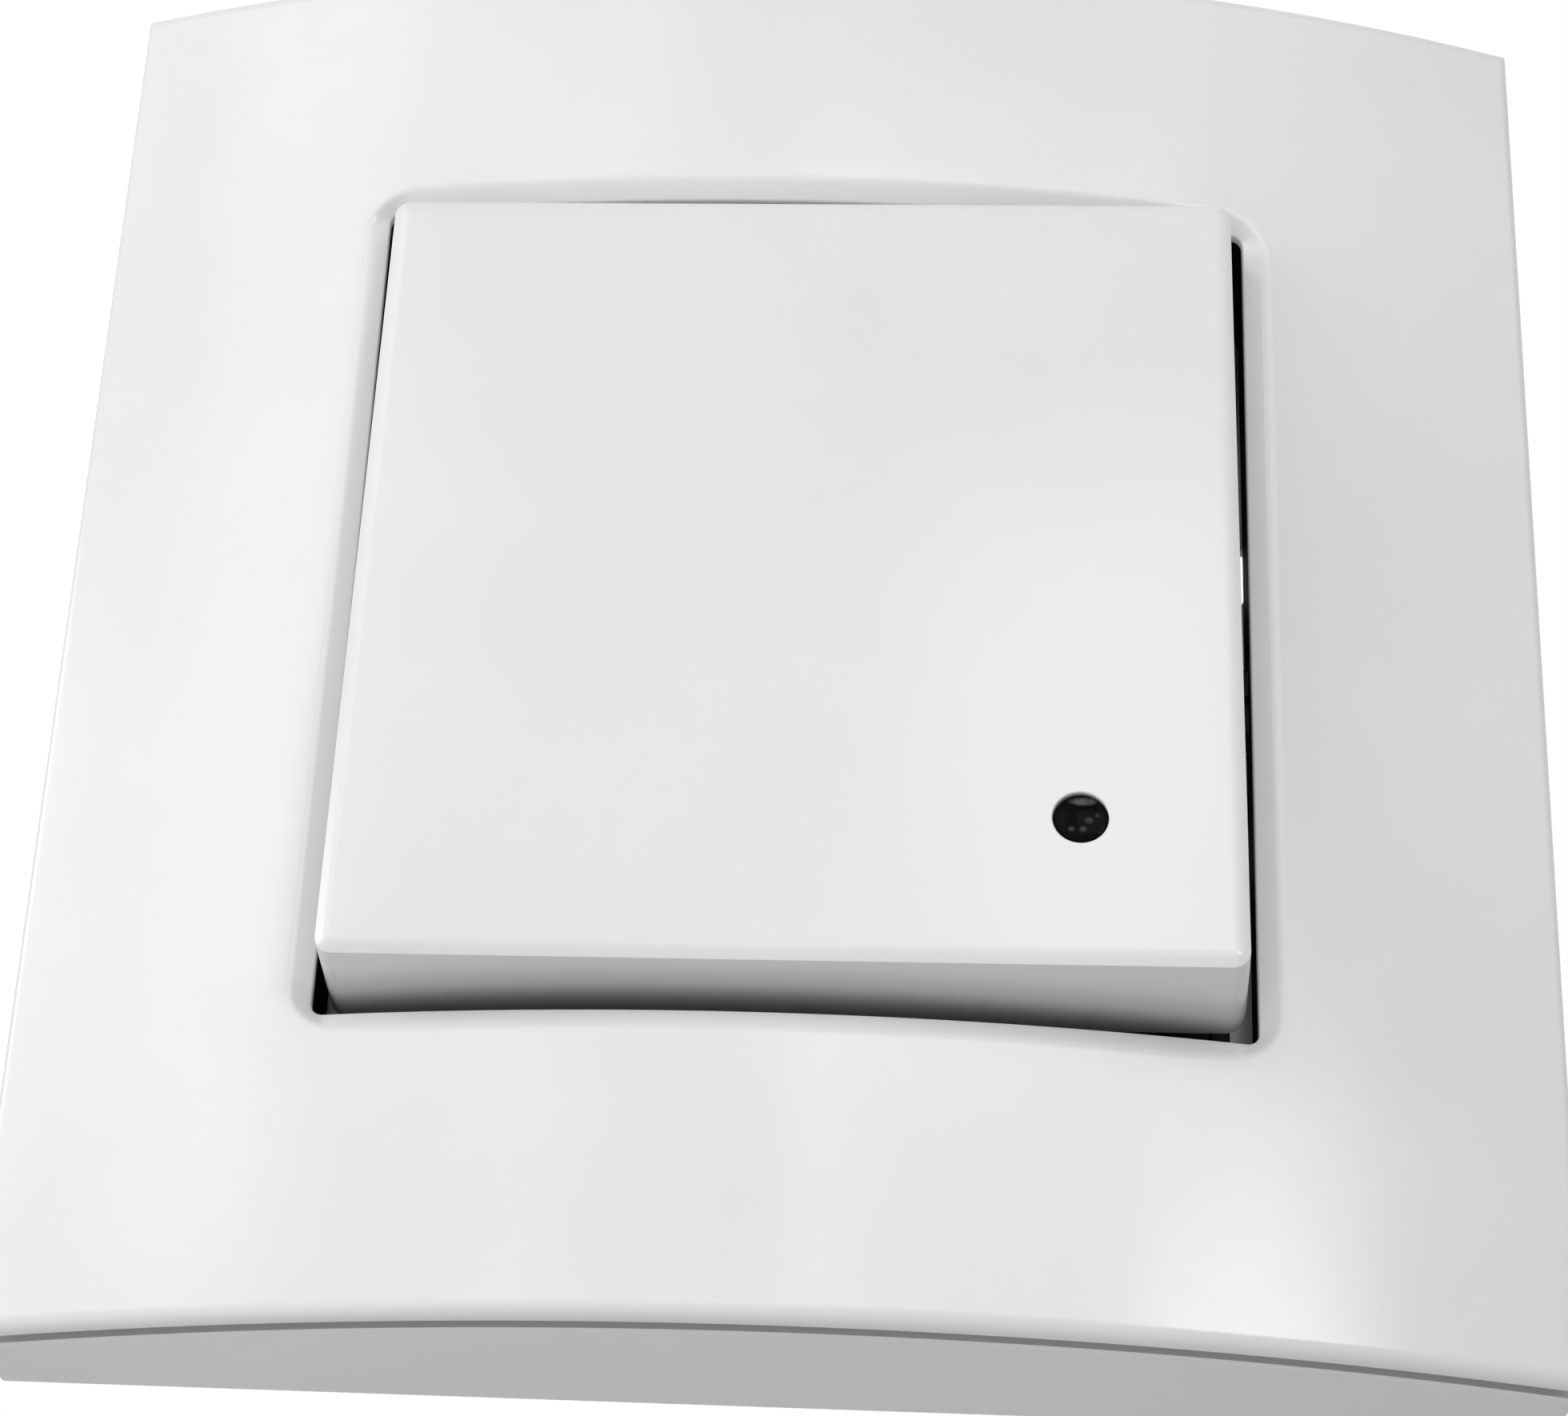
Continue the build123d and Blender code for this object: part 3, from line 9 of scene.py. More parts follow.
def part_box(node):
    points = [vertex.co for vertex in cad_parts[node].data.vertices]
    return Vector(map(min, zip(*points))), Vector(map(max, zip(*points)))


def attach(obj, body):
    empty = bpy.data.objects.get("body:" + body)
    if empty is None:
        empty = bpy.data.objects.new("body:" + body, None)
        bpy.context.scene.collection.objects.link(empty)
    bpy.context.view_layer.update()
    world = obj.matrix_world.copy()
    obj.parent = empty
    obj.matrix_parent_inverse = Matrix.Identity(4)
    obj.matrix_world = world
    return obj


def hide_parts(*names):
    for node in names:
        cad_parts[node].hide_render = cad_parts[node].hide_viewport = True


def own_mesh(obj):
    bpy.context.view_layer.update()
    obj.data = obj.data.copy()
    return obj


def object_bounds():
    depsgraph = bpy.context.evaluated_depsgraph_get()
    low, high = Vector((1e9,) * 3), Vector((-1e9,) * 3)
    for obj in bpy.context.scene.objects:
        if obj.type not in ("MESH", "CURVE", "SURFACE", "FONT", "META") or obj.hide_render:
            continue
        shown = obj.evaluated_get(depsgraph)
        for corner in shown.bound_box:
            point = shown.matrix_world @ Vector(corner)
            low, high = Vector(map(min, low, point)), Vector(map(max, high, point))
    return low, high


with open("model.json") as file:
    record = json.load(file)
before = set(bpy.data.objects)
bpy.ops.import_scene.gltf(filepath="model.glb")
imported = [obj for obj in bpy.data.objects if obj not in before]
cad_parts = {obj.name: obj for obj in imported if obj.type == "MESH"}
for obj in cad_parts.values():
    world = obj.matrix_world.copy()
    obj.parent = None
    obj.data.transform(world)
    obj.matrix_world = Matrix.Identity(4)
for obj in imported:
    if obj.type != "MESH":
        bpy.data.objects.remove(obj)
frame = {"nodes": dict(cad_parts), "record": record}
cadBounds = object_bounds()
milli = 0.001
sameSpot = 1e-7  # metres within which corners are merged
print("frame loaded")


# Shader building

class Wire:  # one output socket, so that shader maths can be written as sums
    def __init__(self, finish, socket):
        self.finish = finish
        self.socket = socket

    def maths(self, operation, first, second):
        return self.finish.node("ShaderNodeMath", {"operation": operation}, {0: first, 1: second})

    def __add__(self, other):
        return self.maths("ADD", self, other)

    def __radd__(self, other):
        return self.maths("ADD", other, self)

    def __sub__(self, other):
        return self.maths("SUBTRACT", self, other)

    def __mul__(self, other):
        return self.maths("MULTIPLY", self, other)

    def __rmul__(self, other):
        return self.maths("MULTIPLY", other, self)


class Finish:  # one material and the method that makes its nodes
    def __init__(self, name):
        self.material = bpy.data.materials.new(name)
        self.material.use_nodes = True
        self.tree = self.material.node_tree
        self.tree.nodes.clear()

    def node(self, kind, settings=None, values=None, out=0):
        made = self.tree.nodes.new(kind)
        for name, value in (settings or {}).items():
            setattr(made, name, value)
        for name, value in (values or {}).items():
            if isinstance(value, Wire):
                self.tree.links.new(value.socket, made.inputs[name])
            else:
                made.inputs[name].default_value = value
        return Wire(self, made.outputs[out]) if len(made.outputs) else None

    def place(self):
        return self.node("ShaderNodeTexCoord", out="Object")

    def noise(self, scale, detail=2.0, rough=0.5, stretch=None):
        spot = self.place()
        if stretch:
            spot = self.node("ShaderNodeMapping", None, {"Vector": spot, "Scale": stretch})
        return self.node(
            "ShaderNodeTexNoise", None,
            {"Vector": spot, "Scale": scale, "Detail": detail, "Roughness": rough},
        )

    def span(self, value, low, high, start=0.0, end=1.0):
        return self.node(
            "ShaderNodeMapRange", {"interpolation_type": "SMOOTHSTEP"},
            {"Value": value, "From Min": low, "From Max": high, "To Min": start, "To Max": end},
        )

    def mixed(self, share, first, second):
        return self.node(
            "ShaderNodeMix", {"data_type": "RGBA"}, {"Factor": share, 6: first, 7: second}, out=2
        )

    def patch(self, middle, reach):
        # 1 in the core, falling to 0 where the ellipsoid of the given reach ends
        core = 0.4
        spot = self.place()
        away = self.node("ShaderNodeVectorMath", {"operation": "SUBTRACT"}, {0: spot, 1: middle})
        shares = [1 / part for part in reach]
        near = self.node("ShaderNodeVectorMath", {"operation": "MULTIPLY"}, {0: away, 1: shares})
        length = self.node("ShaderNodeVectorMath", {"operation": "LENGTH"}, {0: near}, out="Value")
        return self.span(length, core, 1.0, 1.0, 0.0)

    def bump(self, height, depth, under=None):
        values = {"Height": height, "Distance": depth, "Strength": 1.0}
        if under:
            values["Normal"] = under
        return self.node("ShaderNodeBump", None, values)

    def close(self, **sockets):
        shader = self.node(
            "ShaderNodeBsdfPrincipled", None,
            {name.replace("_", " "): value for name, value in sockets.items()},
        )
        self.node("ShaderNodeOutputMaterial", None, {"Surface": shader})
        return self.material


def whitePlastic():
    look = {
        "color": (0.83, 0.83, 0.825, 1),
        "shade": (0.80, 0.80, 0.795, 1),
        "roughness": 0.15,
        "roughnessSpread": 0.03,
        "roughnessScale": 140,
        "flowScale": 45,
        "flowDepth": 0.00002,
        "flowFrom": 0.35,
        "flowTo": 0.7,
        "grainScale": 2600,
        "grainDepth": 0.0000025,
        # painted shade: grey for the groove and the key's skirt, near black for the wall behind the lip
        "paintedShade": (0.48, 0.475, 0.465, 1),
        "deep": (0.008, 0.008, 0.008, 1),
        "deepRoughness": 0.75,
    }
    finish = Finish("glossyWhitePlastic")
    flow = finish.noise(look["flowScale"], 3)
    grain = finish.noise(look["grainScale"], 2)
    cloud = finish.span(flow, look["flowFrom"], look["flowTo"])
    clean = finish.mixed(cloud, look["color"], look["shade"])
    paintedShadeFactor = finish.node("ShaderNodeAttribute", {"attribute_name": "paintedShade"}, out="Fac")
    withPaintedShade = finish.mixed(paintedShadeFactor, clean, look["paintedShade"])  # painted shade in the groove and on the key's skirt
    paintedBlackFactor = finish.node("ShaderNodeAttribute", {"attribute_name": "deep"}, out="Fac")
    tone = finish.mixed(paintedBlackFactor, withPaintedShade, look["deep"])  # painted shade: the wall behind the lip is painted near black
    uneven = finish.noise(look["roughnessScale"], 4) - 0.5
    roughness = look["roughness"] + look["roughnessSpread"] * uneven
    roughness = roughness + look["deepRoughness"] * paintedBlackFactor
    wave = finish.bump(flow, look["flowDepth"])
    normal = finish.bump(grain, look["grainDepth"], under=wave)
    return finish.close(
        Base_Color=tone, Roughness=roughness, Normal=normal, IOR=1.49, Specular_IOR_Level=0.5
    )


def smokedPlastic(face):
    # painted glints: lighter patches in the lens's colour, placed where glints show on its dome
    look = {
        "color": (0.001, 0.001, 0.0012, 1), "paintedGlint": (0.1, 0.1, 0.1, 1), "roughness": 0.1,
        "spots": [
            (0.08, 0.95, 0.85, 0.32, 1.0), (0.40, -0.17, 0.28, 0.24, 0.5),
            (0.10, -0.66, 0.26, 0.2, 0.5), (-0.48, -0.64, 0.24, 0.18, 0.45),
            (0.83, 0.13, 0.16, 0.14, 0.35),
        ],  # right, up, half width, half height, strength
        "spotDepth": 3,
        "unevenScale": 2600, "unevenFrom": 0.3, "unevenTo": 0.62, "unevenLeast": 0.35,
        "roughnessScale": 1500, "roughnessSpread": 0.06, "shine": 0.04,
    }
    finish = Finish("smokedLensPlastic")
    share = 0
    for right, up, wide, tall, strength in look["spots"]:
        middle = face + Vector((right, 0, up)) * milli
        reach = (wide * milli, look["spotDepth"] * milli, tall * milli)
        share = share + strength * finish.patch(middle, reach)
    noise = finish.noise(look["unevenScale"], 3)
    uneven = finish.span(noise, look["unevenFrom"], look["unevenTo"], look["unevenLeast"], 1.0)
    # painted glints: the patches lighten the lens's near-black colour
    tone = finish.mixed(share * uneven, look["color"], look["paintedGlint"])
    noise = finish.noise(look["roughnessScale"], 2)
    roughness = look["roughness"] + look["roughnessSpread"] * noise
    return finish.close(Base_Color=tone, Roughness=roughness, Specular_IOR_Level=look["shine"])


def satinPlastic(name, color, roughness):
    look = {
        "cloudScale": 60, "cloudFrom": 0.3, "cloudTo": 0.75, "darker": 0.92,
        "sheenScale": 300, "sheenSpread": 0.08, "grainScale": 3200, "grainDepth": 0.000006,
    }
    finish = Finish(name)
    tone = finish.mixed(
        finish.span(finish.noise(look["cloudScale"], 3), look["cloudFrom"], look["cloudTo"]),
        (*color, 1),
        (*[channel * look["darker"] for channel in color], 1),
    )
    sheen = roughness + look["sheenSpread"] * (finish.noise(look["sheenScale"], 3) - 0.5)
    grain = finish.bump(finish.noise(look["grainScale"], 2), look["grainDepth"])
    return finish.close(Base_Color=tone, Roughness=sheen, Normal=grain)


def platedSteel(name, color, roughness, brush):
    look = {
        "cloudScale": 90, "cloudFrom": 0.3, "cloudTo": 0.7, "darker": 0.8, "cloudSpread": 0.16,
        "lineScale": 700, "lineSpread": 0.1, "lineDepth": 0.000004, "rough": 0.6,
    }
    finish = Finish(name)
    cloud = finish.noise(look["cloudScale"], 5, look["rough"])
    lines = finish.noise(look["lineScale"], 3, look["rough"], stretch=brush)
    tone = finish.mixed(
        finish.span(cloud, look["cloudFrom"], look["cloudTo"]),
        (*color, 1),
        (*[channel * look["darker"] for channel in color], 1),
    )
    sheen = roughness + look["cloudSpread"] * (cloud - 0.5) + look["lineSpread"] * (lines - 0.5)
    grain = finish.bump(lines, look["lineDepth"])
    return finish.close(Base_Color=tone, Roughness=sheen, Metallic=1.0, Normal=grain)


def clearPlastic():
    look = {"color": (0.92, 0.93, 0.93, 1), "roughness": 0.08, "spread": 0.08, "scale": 400}
    finish = Finish("clearPlastic")
    roughness = look["roughness"] + look["spread"] * finish.noise(look["scale"], 2)
    return finish.close(
        Base_Color=look["color"], Roughness=roughness, Transmission_Weight=0.9, IOR=1.49
    )


def lensAxis():
    # the middle of the lens's flat rear face and the way it points, read from its mesh
    flatness = 0.01
    mesh = frame["nodes"]["indicator_lens"].data
    rear = max(mesh.polygons, key=lambda face: face.normal.y * face.area).normal.copy()
    deepest = max(vertex.co.dot(rear) for vertex in mesh.vertices)
    near = flatness * milli
    rim = [vertex.co for vertex in mesh.vertices if deepest - vertex.co.dot(rear) < near]
    return sum(rim, Vector()) / len(rim), -rear


lensShape = {
    "plug": 2.2, "seat": 2.6, "nose": 1.38, "rim": 4.2, "crown": 4.36, "domeShare": 0.8,
    "soft": 0.12, "shoulder": 0.04, "sides": 64, "steps": 10, "roundSteps": 5,
    "shift": (-0.15, 0, 0.14),
}  # shifted with the hole in the key
lensRear, lensOutward = lensAxis()
lensRear += Vector(lensShape["shift"]) * milli
lensFace = lensRear + lensOutward * lensShape["crown"] * milli
finishes = {
    "white_cover": whitePlastic(),
    "smoked_lens": smokedPlastic(lensFace),
    "white_insert": satinPlastic("satinWhitePlastic", (0.74, 0.74, 0.72), 0.5),
    "dark_insert": satinPlastic("darkInsertPlastic", (0.016, 0.016, 0.018), 0.5),
    "grey_housing": satinPlastic("greyHousingPlastic", (0.42, 0.43, 0.43), 0.48),
    "green_board": satinPlastic("greenSolderMask", (0.01, 0.09, 0.03), 0.35),
    "black_component": satinPlastic("blackMoulding", (0.012, 0.012, 0.013), 0.42),
    "blue_component": satinPlastic("blueMoulding", (0.02, 0.08, 0.26), 0.4),
    "tan_component": satinPlastic("tanCeramic", (0.42, 0.28, 0.14), 0.5),
    "yellow_component": satinPlastic("yellowMoulding", (0.62, 0.42, 0.03), 0.4),
    "brown_component": satinPlastic("brownMoulding", (0.06, 0.018, 0.008), 0.4),
    "orange_dial": satinPlastic("orangeMoulding", (0.72, 0.16, 0.02), 0.4),
    "clear_plastic": clearPlastic(),
    "zinc_steel": platedSteel("zincPlatedSteel", (0.62, 0.63, 0.64), 0.36, (1, 1, 0.2)),
    # painted shade: a darkened copy of the zinc steel, used on the screws
    "dull_steel": platedSteel("zincSteelPaintedShade", (0.15, 0.15, 0.155), 0.55, (1, 1, 0.2)),
    "spring_steel": platedSteel("springSteel", (0.45, 0.45, 0.46), 0.3, (0.2, 1, 1)),
    "brass": platedSteel("brightBrass", (0.75, 0.55, 0.22), 0.28, (1, 0.2, 1)),
}
slotOf = {part["node"]: part["material_slot"] for part in frame["record"]["subparts"]}
for name, node in frame["nodes"].items():
    node.data.materials.clear()
    node.data.materials.append(finishes[slotOf[name]])
print("finishes made")


# Shape building, with sizes in millimetres

def squareRound(wide, tall, corner, stations, bends):
    # points round a square with rounded corners, each with its share of the top or bottom side
    points = []
    for quarter in range(4):
        out = Vector(((1, 0), (0, 1), (-1, 0), (0, -1))[quarter])
        along = Vector((-out.y, out.x))
        outHalf, alongHalf = (wide, tall) if quarter % 2 == 0 else (tall, wide)
        for station in stations:
            points.append((out * outHalf + along * station * (alongHalf - corner), quarter % 2))
        for bend in range(1, bends):
            turn = math.pi / 2 * bend / bends
            spot = out * (outHalf - corner + corner * math.cos(turn))
            spot += along * (alongHalf - corner + corner * math.sin(turn))
            points.append((spot, abs(quarter % 2 - bend / bends)))
    return points


def roundedRun(corners, steps=6):
    # a run of (across, deep, radius) corners, each rounded by its radius
    spots = [Vector(corner[:2]) for corner in corners]
    run = []
    for index, (spot, corner) in enumerate(zip(spots, corners)):
        if corner[2] == 0:
            run.append(spot)
            continue
        before = (spots[index - 1] - spot).normalized()
        after = (spots[index + 1] - spot).normalized()
        half = before.angle(after) / 2
        centre = spot + (before + after).normalized() * corner[2] / math.sin(half)
        start = (spot + before * corner[2] / math.tan(half) - centre).normalized()
        end = (spot + after * corner[2] / math.tan(half) - centre).normalized()
        run += [centre + start.slerp(end, step / steps) * corner[2] for step in range(steps + 1)]
    return run


def looped(shape, rings, paintedShade=None, deep=None):
    # in an empty shape, each ring of points is extruded from the one before it;
    # the two share tables give, by ring, the shares of painted shade in grey and in near black
    mark = shape.verts.layers.int.new("mark")
    layers = [
        (shape.verts.layers.float.new("paintedShade"), paintedShade or {}),
        (shape.verts.layers.float.new("deep"), deep or {}),
    ]
    first = bmesh.ops.create_circle(shape, segments=len(rings[0]), radius=1)["verts"]
    for place, vertex in enumerate(first):
        vertex[mark] = place
        vertex.co = rings[0][place]
        for layer, shares in layers:
            vertex[layer] = shares.get(0, 0)
    edges = shape.edges[:]
    for level, ring in enumerate(rings[1:], 1):
        made = bmesh.ops.extrude_edge_only(shape, edges=edges)["geom"]
        fresh = {part for part in made if isinstance(part, bmesh.types.BMVert)}
        for vertex in fresh:
            vertex.co = ring[vertex[mark]]
            for layer, shares in layers:
                vertex[layer] = shares.get(level, 0)
        edges = [
            part for part in made
            if isinstance(part, bmesh.types.BMEdge) and set(part.verts) <= fresh
        ]


def everything(shape):
    return shape.verts[:] + shape.edges[:] + shape.faces[:]


def cutFlat(shape, place, outward):
    # cuts the shape off flat at a plane and closes it there
    bmesh.ops.bisect_plane(
        shape, geom=everything(shape), dist=sameSpot, plane_co=place, plane_no=outward, clear_outer=True
    )
    rim = [edge for edge in shape.edges if edge.is_boundary]
    bmesh.ops.holes_fill(shape, edges=rim, sides=0)


def finished(name, shape, slot, body, node, sharpest=35, turnOut=True, look=None):
    # makes the shape an object that rides a body and stands for a CAD node
    bmesh.ops.remove_doubles(shape, verts=shape.verts[:], dist=sameSpot)
    if turnOut:
        bmesh.ops.recalc_face_normals(shape, faces=shape.faces[:])
    for face in shape.faces:
        face.smooth = True
    for edge in shape.edges:
        edge.smooth = edge.calc_face_angle(0) < math.radians(sharpest)
    mesh = bpy.data.meshes.new(name)
    shape.to_mesh(mesh)
    shape.free()
    mesh.materials.append(finishes[look or slot])
    piece = bpy.data.objects.new(name, mesh)
    bpy.context.scene.collection.objects.link(piece)
    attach(piece, body)
    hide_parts(node)
    return piece


# Cover frame: an arched shell closed all round, with its lip, groove, collar and snap arms

def coverFrame():
    cover = {
        "half": 41.0, "crest": 16.1, "side": 9.0, "wall": 2.0, "corner": 0.25,
        "opening": 24.65, "openingCorner": 0.6, "cornerFlare": 2.0, "pinch": 0.19,
        "lipWidth": 1.15, "lipDepth": 0.75, "lipRound": 1.2, "lipEdge": 0.25, "lipEnd": 2.3,
        "lipRear": 1.3, "lipRearRound": 0.05, "undercut": 0.8, "undercutRound": 0.1, "wallDeep": 6,
        "endRound": 0.84, "sideRound": 0.4, "rimRound": 0.12,
        "grooveFront": 0.9, "grooveRear": 2.1, "grooveDepth": 0.6, "grooveRound": 0.05,
        "grooveEnd": 3, "grooveSteps": 3, "leastCorner": 0.03, "paintedShadeInset": 0.8, "deepShare": 0.1,
        "collar": 1.6, "collarRear": 1.3, "notchHalf": 2.8, "notchFront": 2.9,
        "armWide": 3.0, "armThick": 0.75, "armSpacing": 18.0, "armHook": 0.8, "armReach": 1.9,
        "armFront": 3.3, "hookStart": 0.05, "hookTip": 0.45,
        "stations": 44, "bends": 8, "frontSteps": 14, "lastPart": 0.995, "endSteps": 8,
        "collarSteps": 6,
    }
    half, opening, collar = cover["half"], cover["opening"], cover["collar"]
    rise = cover["crest"] - cover["side"]
    archRadius = (half**2 + rise**2) / (2 * rise)
    edgeOut = half - opening

    def archHeight(x, deep):
        return cover["crest"] - archRadius + math.sqrt((archRadius - deep) ** 2 - x * x)

    def collarLevel(spot):
        inNotch = abs(spot.y) < cover["notchHalf"] and abs(spot.x) > opening / 2
        return cover["notchFront"] if inNotch else cover["collarRear"]

    notch = cover["notchHalf"] / (opening - cover["openingCorner"])
    stations = [2 * step / cover["stations"] - 1 for step in range(cover["stations"] + 1)]
    beside = 0.001  # share by which a pair of stations stands either side of the notch's edge
    stations += [side * notch * (1 + nudge) for side in (-1, 1) for nudge in (-beside, beside)]
    stations.sort()

    def ring(wideOut, tallOut, deepWide, deepTall, corner, level=None):
        points = []
        outline = squareRound(
            opening + wideOut, opening + tallOut, corner, stations, cover["bends"]
        )
        for spot, share in outline:
            deep = deepWide + (deepTall - deepWide) * share
            height = level(spot) if level else archHeight(spot.x, deep)
            points.append(Vector((spot.x, -height, spot.y)) * milli)
        return points

    under, lipEnd = cover["undercut"], cover["lipEnd"]
    rings = [ring(under, under, 0, 0, cover["openingCorner"] + under, collarLevel)]
    lip = roundedRun([
        (under, cover["wallDeep"], 0), (under, cover["lipRear"] + under, cover["undercutRound"]),
        (0, cover["lipRear"], cover["lipRearRound"]), (0, cover["lipDepth"], cover["lipEdge"]),
        (cover["lipWidth"], 0, cover["lipRound"]), (lipEnd, 0, 0),
    ])
    behindLip = cover["lipRear"] + cover["deepShare"] * under
    # painted shade: the rings behind the lip, and the collar's rear ring below, are painted near black
    paintedBlackRings = {0: 1}
    for out, deep in lip:
        if deep > behindLip:
            paintedBlackRings[len(rings)] = 1
        corner = cover["openingCorner"] + out * cover["cornerFlare"]
        narrower = cover["pinch"] * (1 - out / lipEnd)
        rings.append(ring(out - narrower, out, deep, deep, corner))
    flareOut = corner
    wideEnd = edgeOut - cover["sideRound"]
    tallEnd = edgeOut - cover["endRound"]
    steps = cover["frontSteps"]
    for part in [step / steps for step in range(1, steps)] + [cover["lastPart"], 1]:
        corner = flareOut * (1 - part) + cover["corner"] * part
        wideOut, tallOut = (lipEnd + (end - lipEnd) * part for end in (wideEnd, tallEnd))
        rings.append(ring(wideOut, tallOut, 0, 0, corner))
    for step in range(1, cover["endSteps"] + 1):
        turn = math.pi / 2 * step / cover["endSteps"]
        out, deep = math.sin(turn), 1 - math.cos(turn)
        rings.append(ring(
            wideEnd + cover["sideRound"] * out, tallEnd + cover["endRound"] * out,
            cover["sideRound"] * deep, cover["endRound"] * deep, cover["corner"],
        ))
    floorOut = edgeOut - cover["grooveDepth"]
    groove = roundedRun([
        (edgeOut, cover["endRound"], 0),
        (edgeOut, cover["grooveFront"], cover["grooveRound"]),
        (floorOut, cover["grooveFront"], cover["grooveRound"]),
        (floorOut, cover["grooveRear"], cover["grooveRound"]),
        (edgeOut, cover["grooveRear"], cover["grooveRound"]),
        (edgeOut, cover["grooveEnd"], 0),
    ], cover["grooveSteps"])
    # painted shade: the rings inside the groove get the grey shade colour
    withPaintedShade = {}
    for out, deep in groove:
        if edgeOut - out > cover["paintedShadeInset"] * cover["grooveRound"]:
            withPaintedShade[len(rings)] = 1
        corner = max(cover["corner"] + out - edgeOut, cover["leastCorner"])
        rings.append(ring(out, out, deep, deep, corner))
    rimOut = edgeOut - cover["rimRound"]
    rings.append(ring(edgeOut, edgeOut, 0, 0, cover["corner"], lambda spot: cover["rimRound"]))
    rings.append(ring(rimOut, rimOut, 0, 0, cover["corner"], lambda spot: 0))
    inner = edgeOut - cover["wall"]
    rings.append(ring(inner, inner, 0, 0, cover["corner"], lambda spot: 0))
    steps, collarCorner = cover["collarSteps"], cover["openingCorner"] + collar
    for step in range(steps + 1):
        out = inner + (collar - inner) * step / steps
        corner = cover["corner"] + (collarCorner - cover["corner"]) * step / steps
        rings.append(ring(out, out, cover["wall"], cover["wall"], corner))
    rings.append(ring(collar, collar, 0, 0, collarCorner, collarLevel))
    paintedBlackRings[len(rings)] = 1
    rings.append(rings[0])

    shape = bmesh.new()
    looped(shape, rings, withPaintedShade, paintedBlackRings)
    armOut = opening + collar
    armIn = armOut - cover["armThick"]
    armSide = [
        (armIn, -cover["armFront"]), (armOut, -cover["armFront"]), (armOut, cover["hookStart"]),
        (armOut + cover["armHook"], cover["hookTip"]),
        (armOut, cover["armReach"]), (armIn, cover["armReach"]),
    ]
    for side in (-1, 1):
        for up in (-1, 1):
            low = up * cover["armSpacing"] / 2 - cover["armWide"] / 2
            spots = [shape.verts.new(Vector((side * x, y, low)) * milli) for x, y in armSide]
            made = bmesh.ops.extrude_face_region(shape, geom=[shape.faces.new(spots)])["geom"]
            ends = [part for part in made if isinstance(part, bmesh.types.BMVert)]
            bmesh.ops.translate(shape, verts=ends, vec=Vector((0, 0, cover["armWide"])) * milli)
    finished("coverFrame", shape, "white_cover", "insert", "cover_frame", sharpest=40)


coverFrame()
print("cover frame made")


# Key cap: a flat top with a crowned, creased edge, a skirt, snap legs, ribs and a boss

def capPlace():
    # the key's own axes, and the middle of its face, read from the CAD cap
    outward = lensOutward
    up = Vector((0, outward.z, -outward.y)).normalized()
    across = up.cross(outward)
    spots = [vertex.co for vertex in frame["nodes"]["key_cap"].data.vertices]
    middle = outward * max(spot.dot(outward) for spot in spots)
    for axis in (across, up):
        reach = [spot.dot(axis) for spot in spots]
        middle += axis * (min(reach) + max(reach)) / 2
    turn = Matrix((across, up, outward)).transposed().to_4x4()
    end = min(spot.dot(outward) for spot in spots) - middle.dot(outward)
    return Matrix.Translation(middle) @ turn @ Matrix.Scale(milli, 4), end / milli


def block(shape, low, high):
    made = bmesh.ops.create_cube(shape, size=1)["verts"]
    bmesh.ops.scale(shape, vec=Vector(high) - Vector(low), verts=made)
    bmesh.ops.translate(shape, vec=(Vector(high) + Vector(low)) / 2, verts=made)


